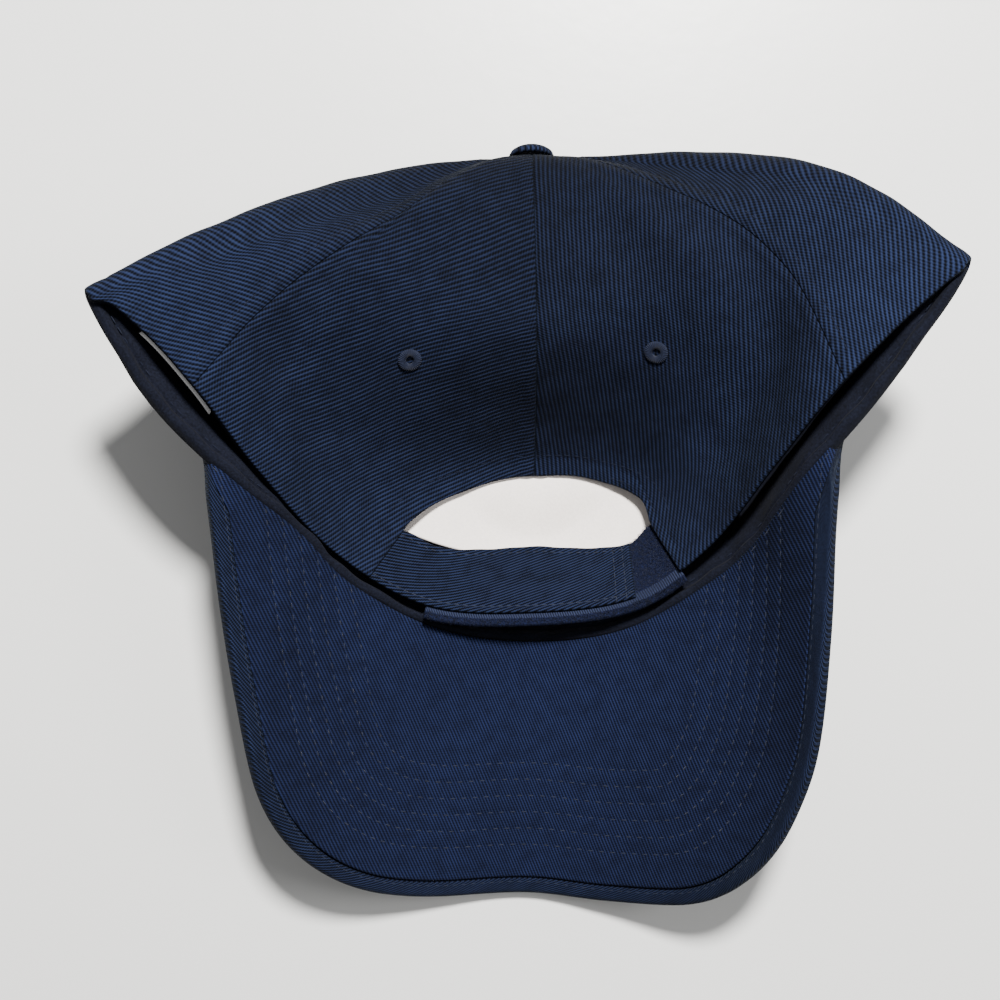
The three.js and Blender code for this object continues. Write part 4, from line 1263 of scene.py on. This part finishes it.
def eyelets():
    thread = plain_cloth("eyelet_thread", (0.0068, 0.0094, 0.0225), 2500.0, 0.0001, 0.1, 0.3, 0.8)
    for name, turn, climb in EYELETS:
        place, _, _, normal = (a.reshape(3) for a in crown_frame([turn], [climb]))
        ring = np.linspace(0, 2 * np.pi, 14, endpoint=False)
        profile = [(1.9 + 0.95 * math.cos(a), 0.5 + 0.42 * math.sin(a)) for a in ring]

        def threads(angle, radius, height):
            ridge = 0.07 * np.cos(34 * angle)
            return radius + ridge * np.sign(radius - 1.9), height + ridge

        points = stood(lathe(profile + profile[:1], 204, threads), place, normal).reshape(-1, 3)
        faces = grid_faces(15, 204, around=True)
        add_mesh(name, points, faces, thread, name, points[:, :2])


thread = plain_cloth("navy_thread", (0.0105, 0.0135, 0.0260), 3000.0, 0.00004, 0.1, 0.2, 0.6)
dark_thread = plain_cloth("dark_thread", (0.0056, 0.0074, 0.0165), 3000.0, 0.00004, 0.03, 0.2, 0.8)
strap_thread = plain_cloth("strap_thread", (0.0098, 0.0128, 0.0250), 3000.0, 0.00004, 0.1, 0.2, 0.7)
crown()
crown_stitches(dark_thread)
lining()
band_stitches(CLOTH_WALL + LAYER_GAP, dark_thread)
straps(strap_thread)
peak_pieces()
peak_stitches(thread)
button()
eyelets()


# Table, light and camera.


def stage():
    nodes = Nodes("table")
    place = nodes.add("ShaderNodeTexCoord").outputs["Object"]
    pale = nodes.finish({"Base Color": (0.78, 0.78, 0.765, 1), "Roughness": 0.32,
                         "Normal": nodes.bump(nodes.noise(place, 160.0), 0.00004)})
    mesh = bpy.data.meshes.new("table")
    size = 1.6
    mesh.from_pydata([(-size, -size, 0), (size, -size, 0), (size, size, 0), (-size, size, 0)], [],
                     [(0, 1, 2, 3)])
    mesh.materials.append(pale)
    table = bpy.data.objects.new("table", mesh)
    bpy.context.scene.collection.objects.link(table)

    world = bpy.data.worlds.new("room")
    bpy.context.scene.world = world
    world.use_nodes = True
    background = world.node_tree.nodes["Background"]
    background.inputs["Color"].default_value = (1, 1, 1, 1)
    background.inputs["Strength"].default_value = 0.27


def lamp(name, direction, distance, size, power, colour=(1, 1, 1)):
    light = bpy.data.lights.new(name, "AREA")
    light.shape = "DISK"
    light.size = size
    light.energy = power
    light.color = colour
    piece = bpy.data.objects.new(name, light)
    way = Vector(direction).normalized()
    piece.location = way * distance
    piece.rotation_euler = way.to_track_quat("Z", "Y").to_euler()
    bpy.context.scene.collection.objects.link(piece)


def view():
    scale = TABLE_SCALE * (1 - RIM_HEIGHT / CAMERA_HEIGHT)
    middle = FRAME_PIXELS / 2
    x = -(ROOT_PIXEL[0] - middle) * TABLE_SCALE
    y = (ROOT_PIXEL[1] - middle) * scale
    camera = bpy.data.cameras.new("camera")
    camera.sensor_fit = "HORIZONTAL"
    camera.angle = 2 * math.atan(middle * TABLE_SCALE / CAMERA_HEIGHT)
    piece = bpy.data.objects.new("camera", camera)
    piece.location = (Vector((x, y, 0)) + Vector(SHIFT)) / 1000 + Vector((0, 0, CAMERA_HEIGHT / 1000))
    bpy.context.scene.collection.objects.link(piece)
    bpy.context.scene.camera = piece


stage()
lamp("key", (0.11, 0.54, 0.83), 1.05, 0.17, 37, (1.0, 0.99, 0.97))
lamp("fill", (0.66, 0.12, 0.74), 0.9, 0.35, 2.2)
view()
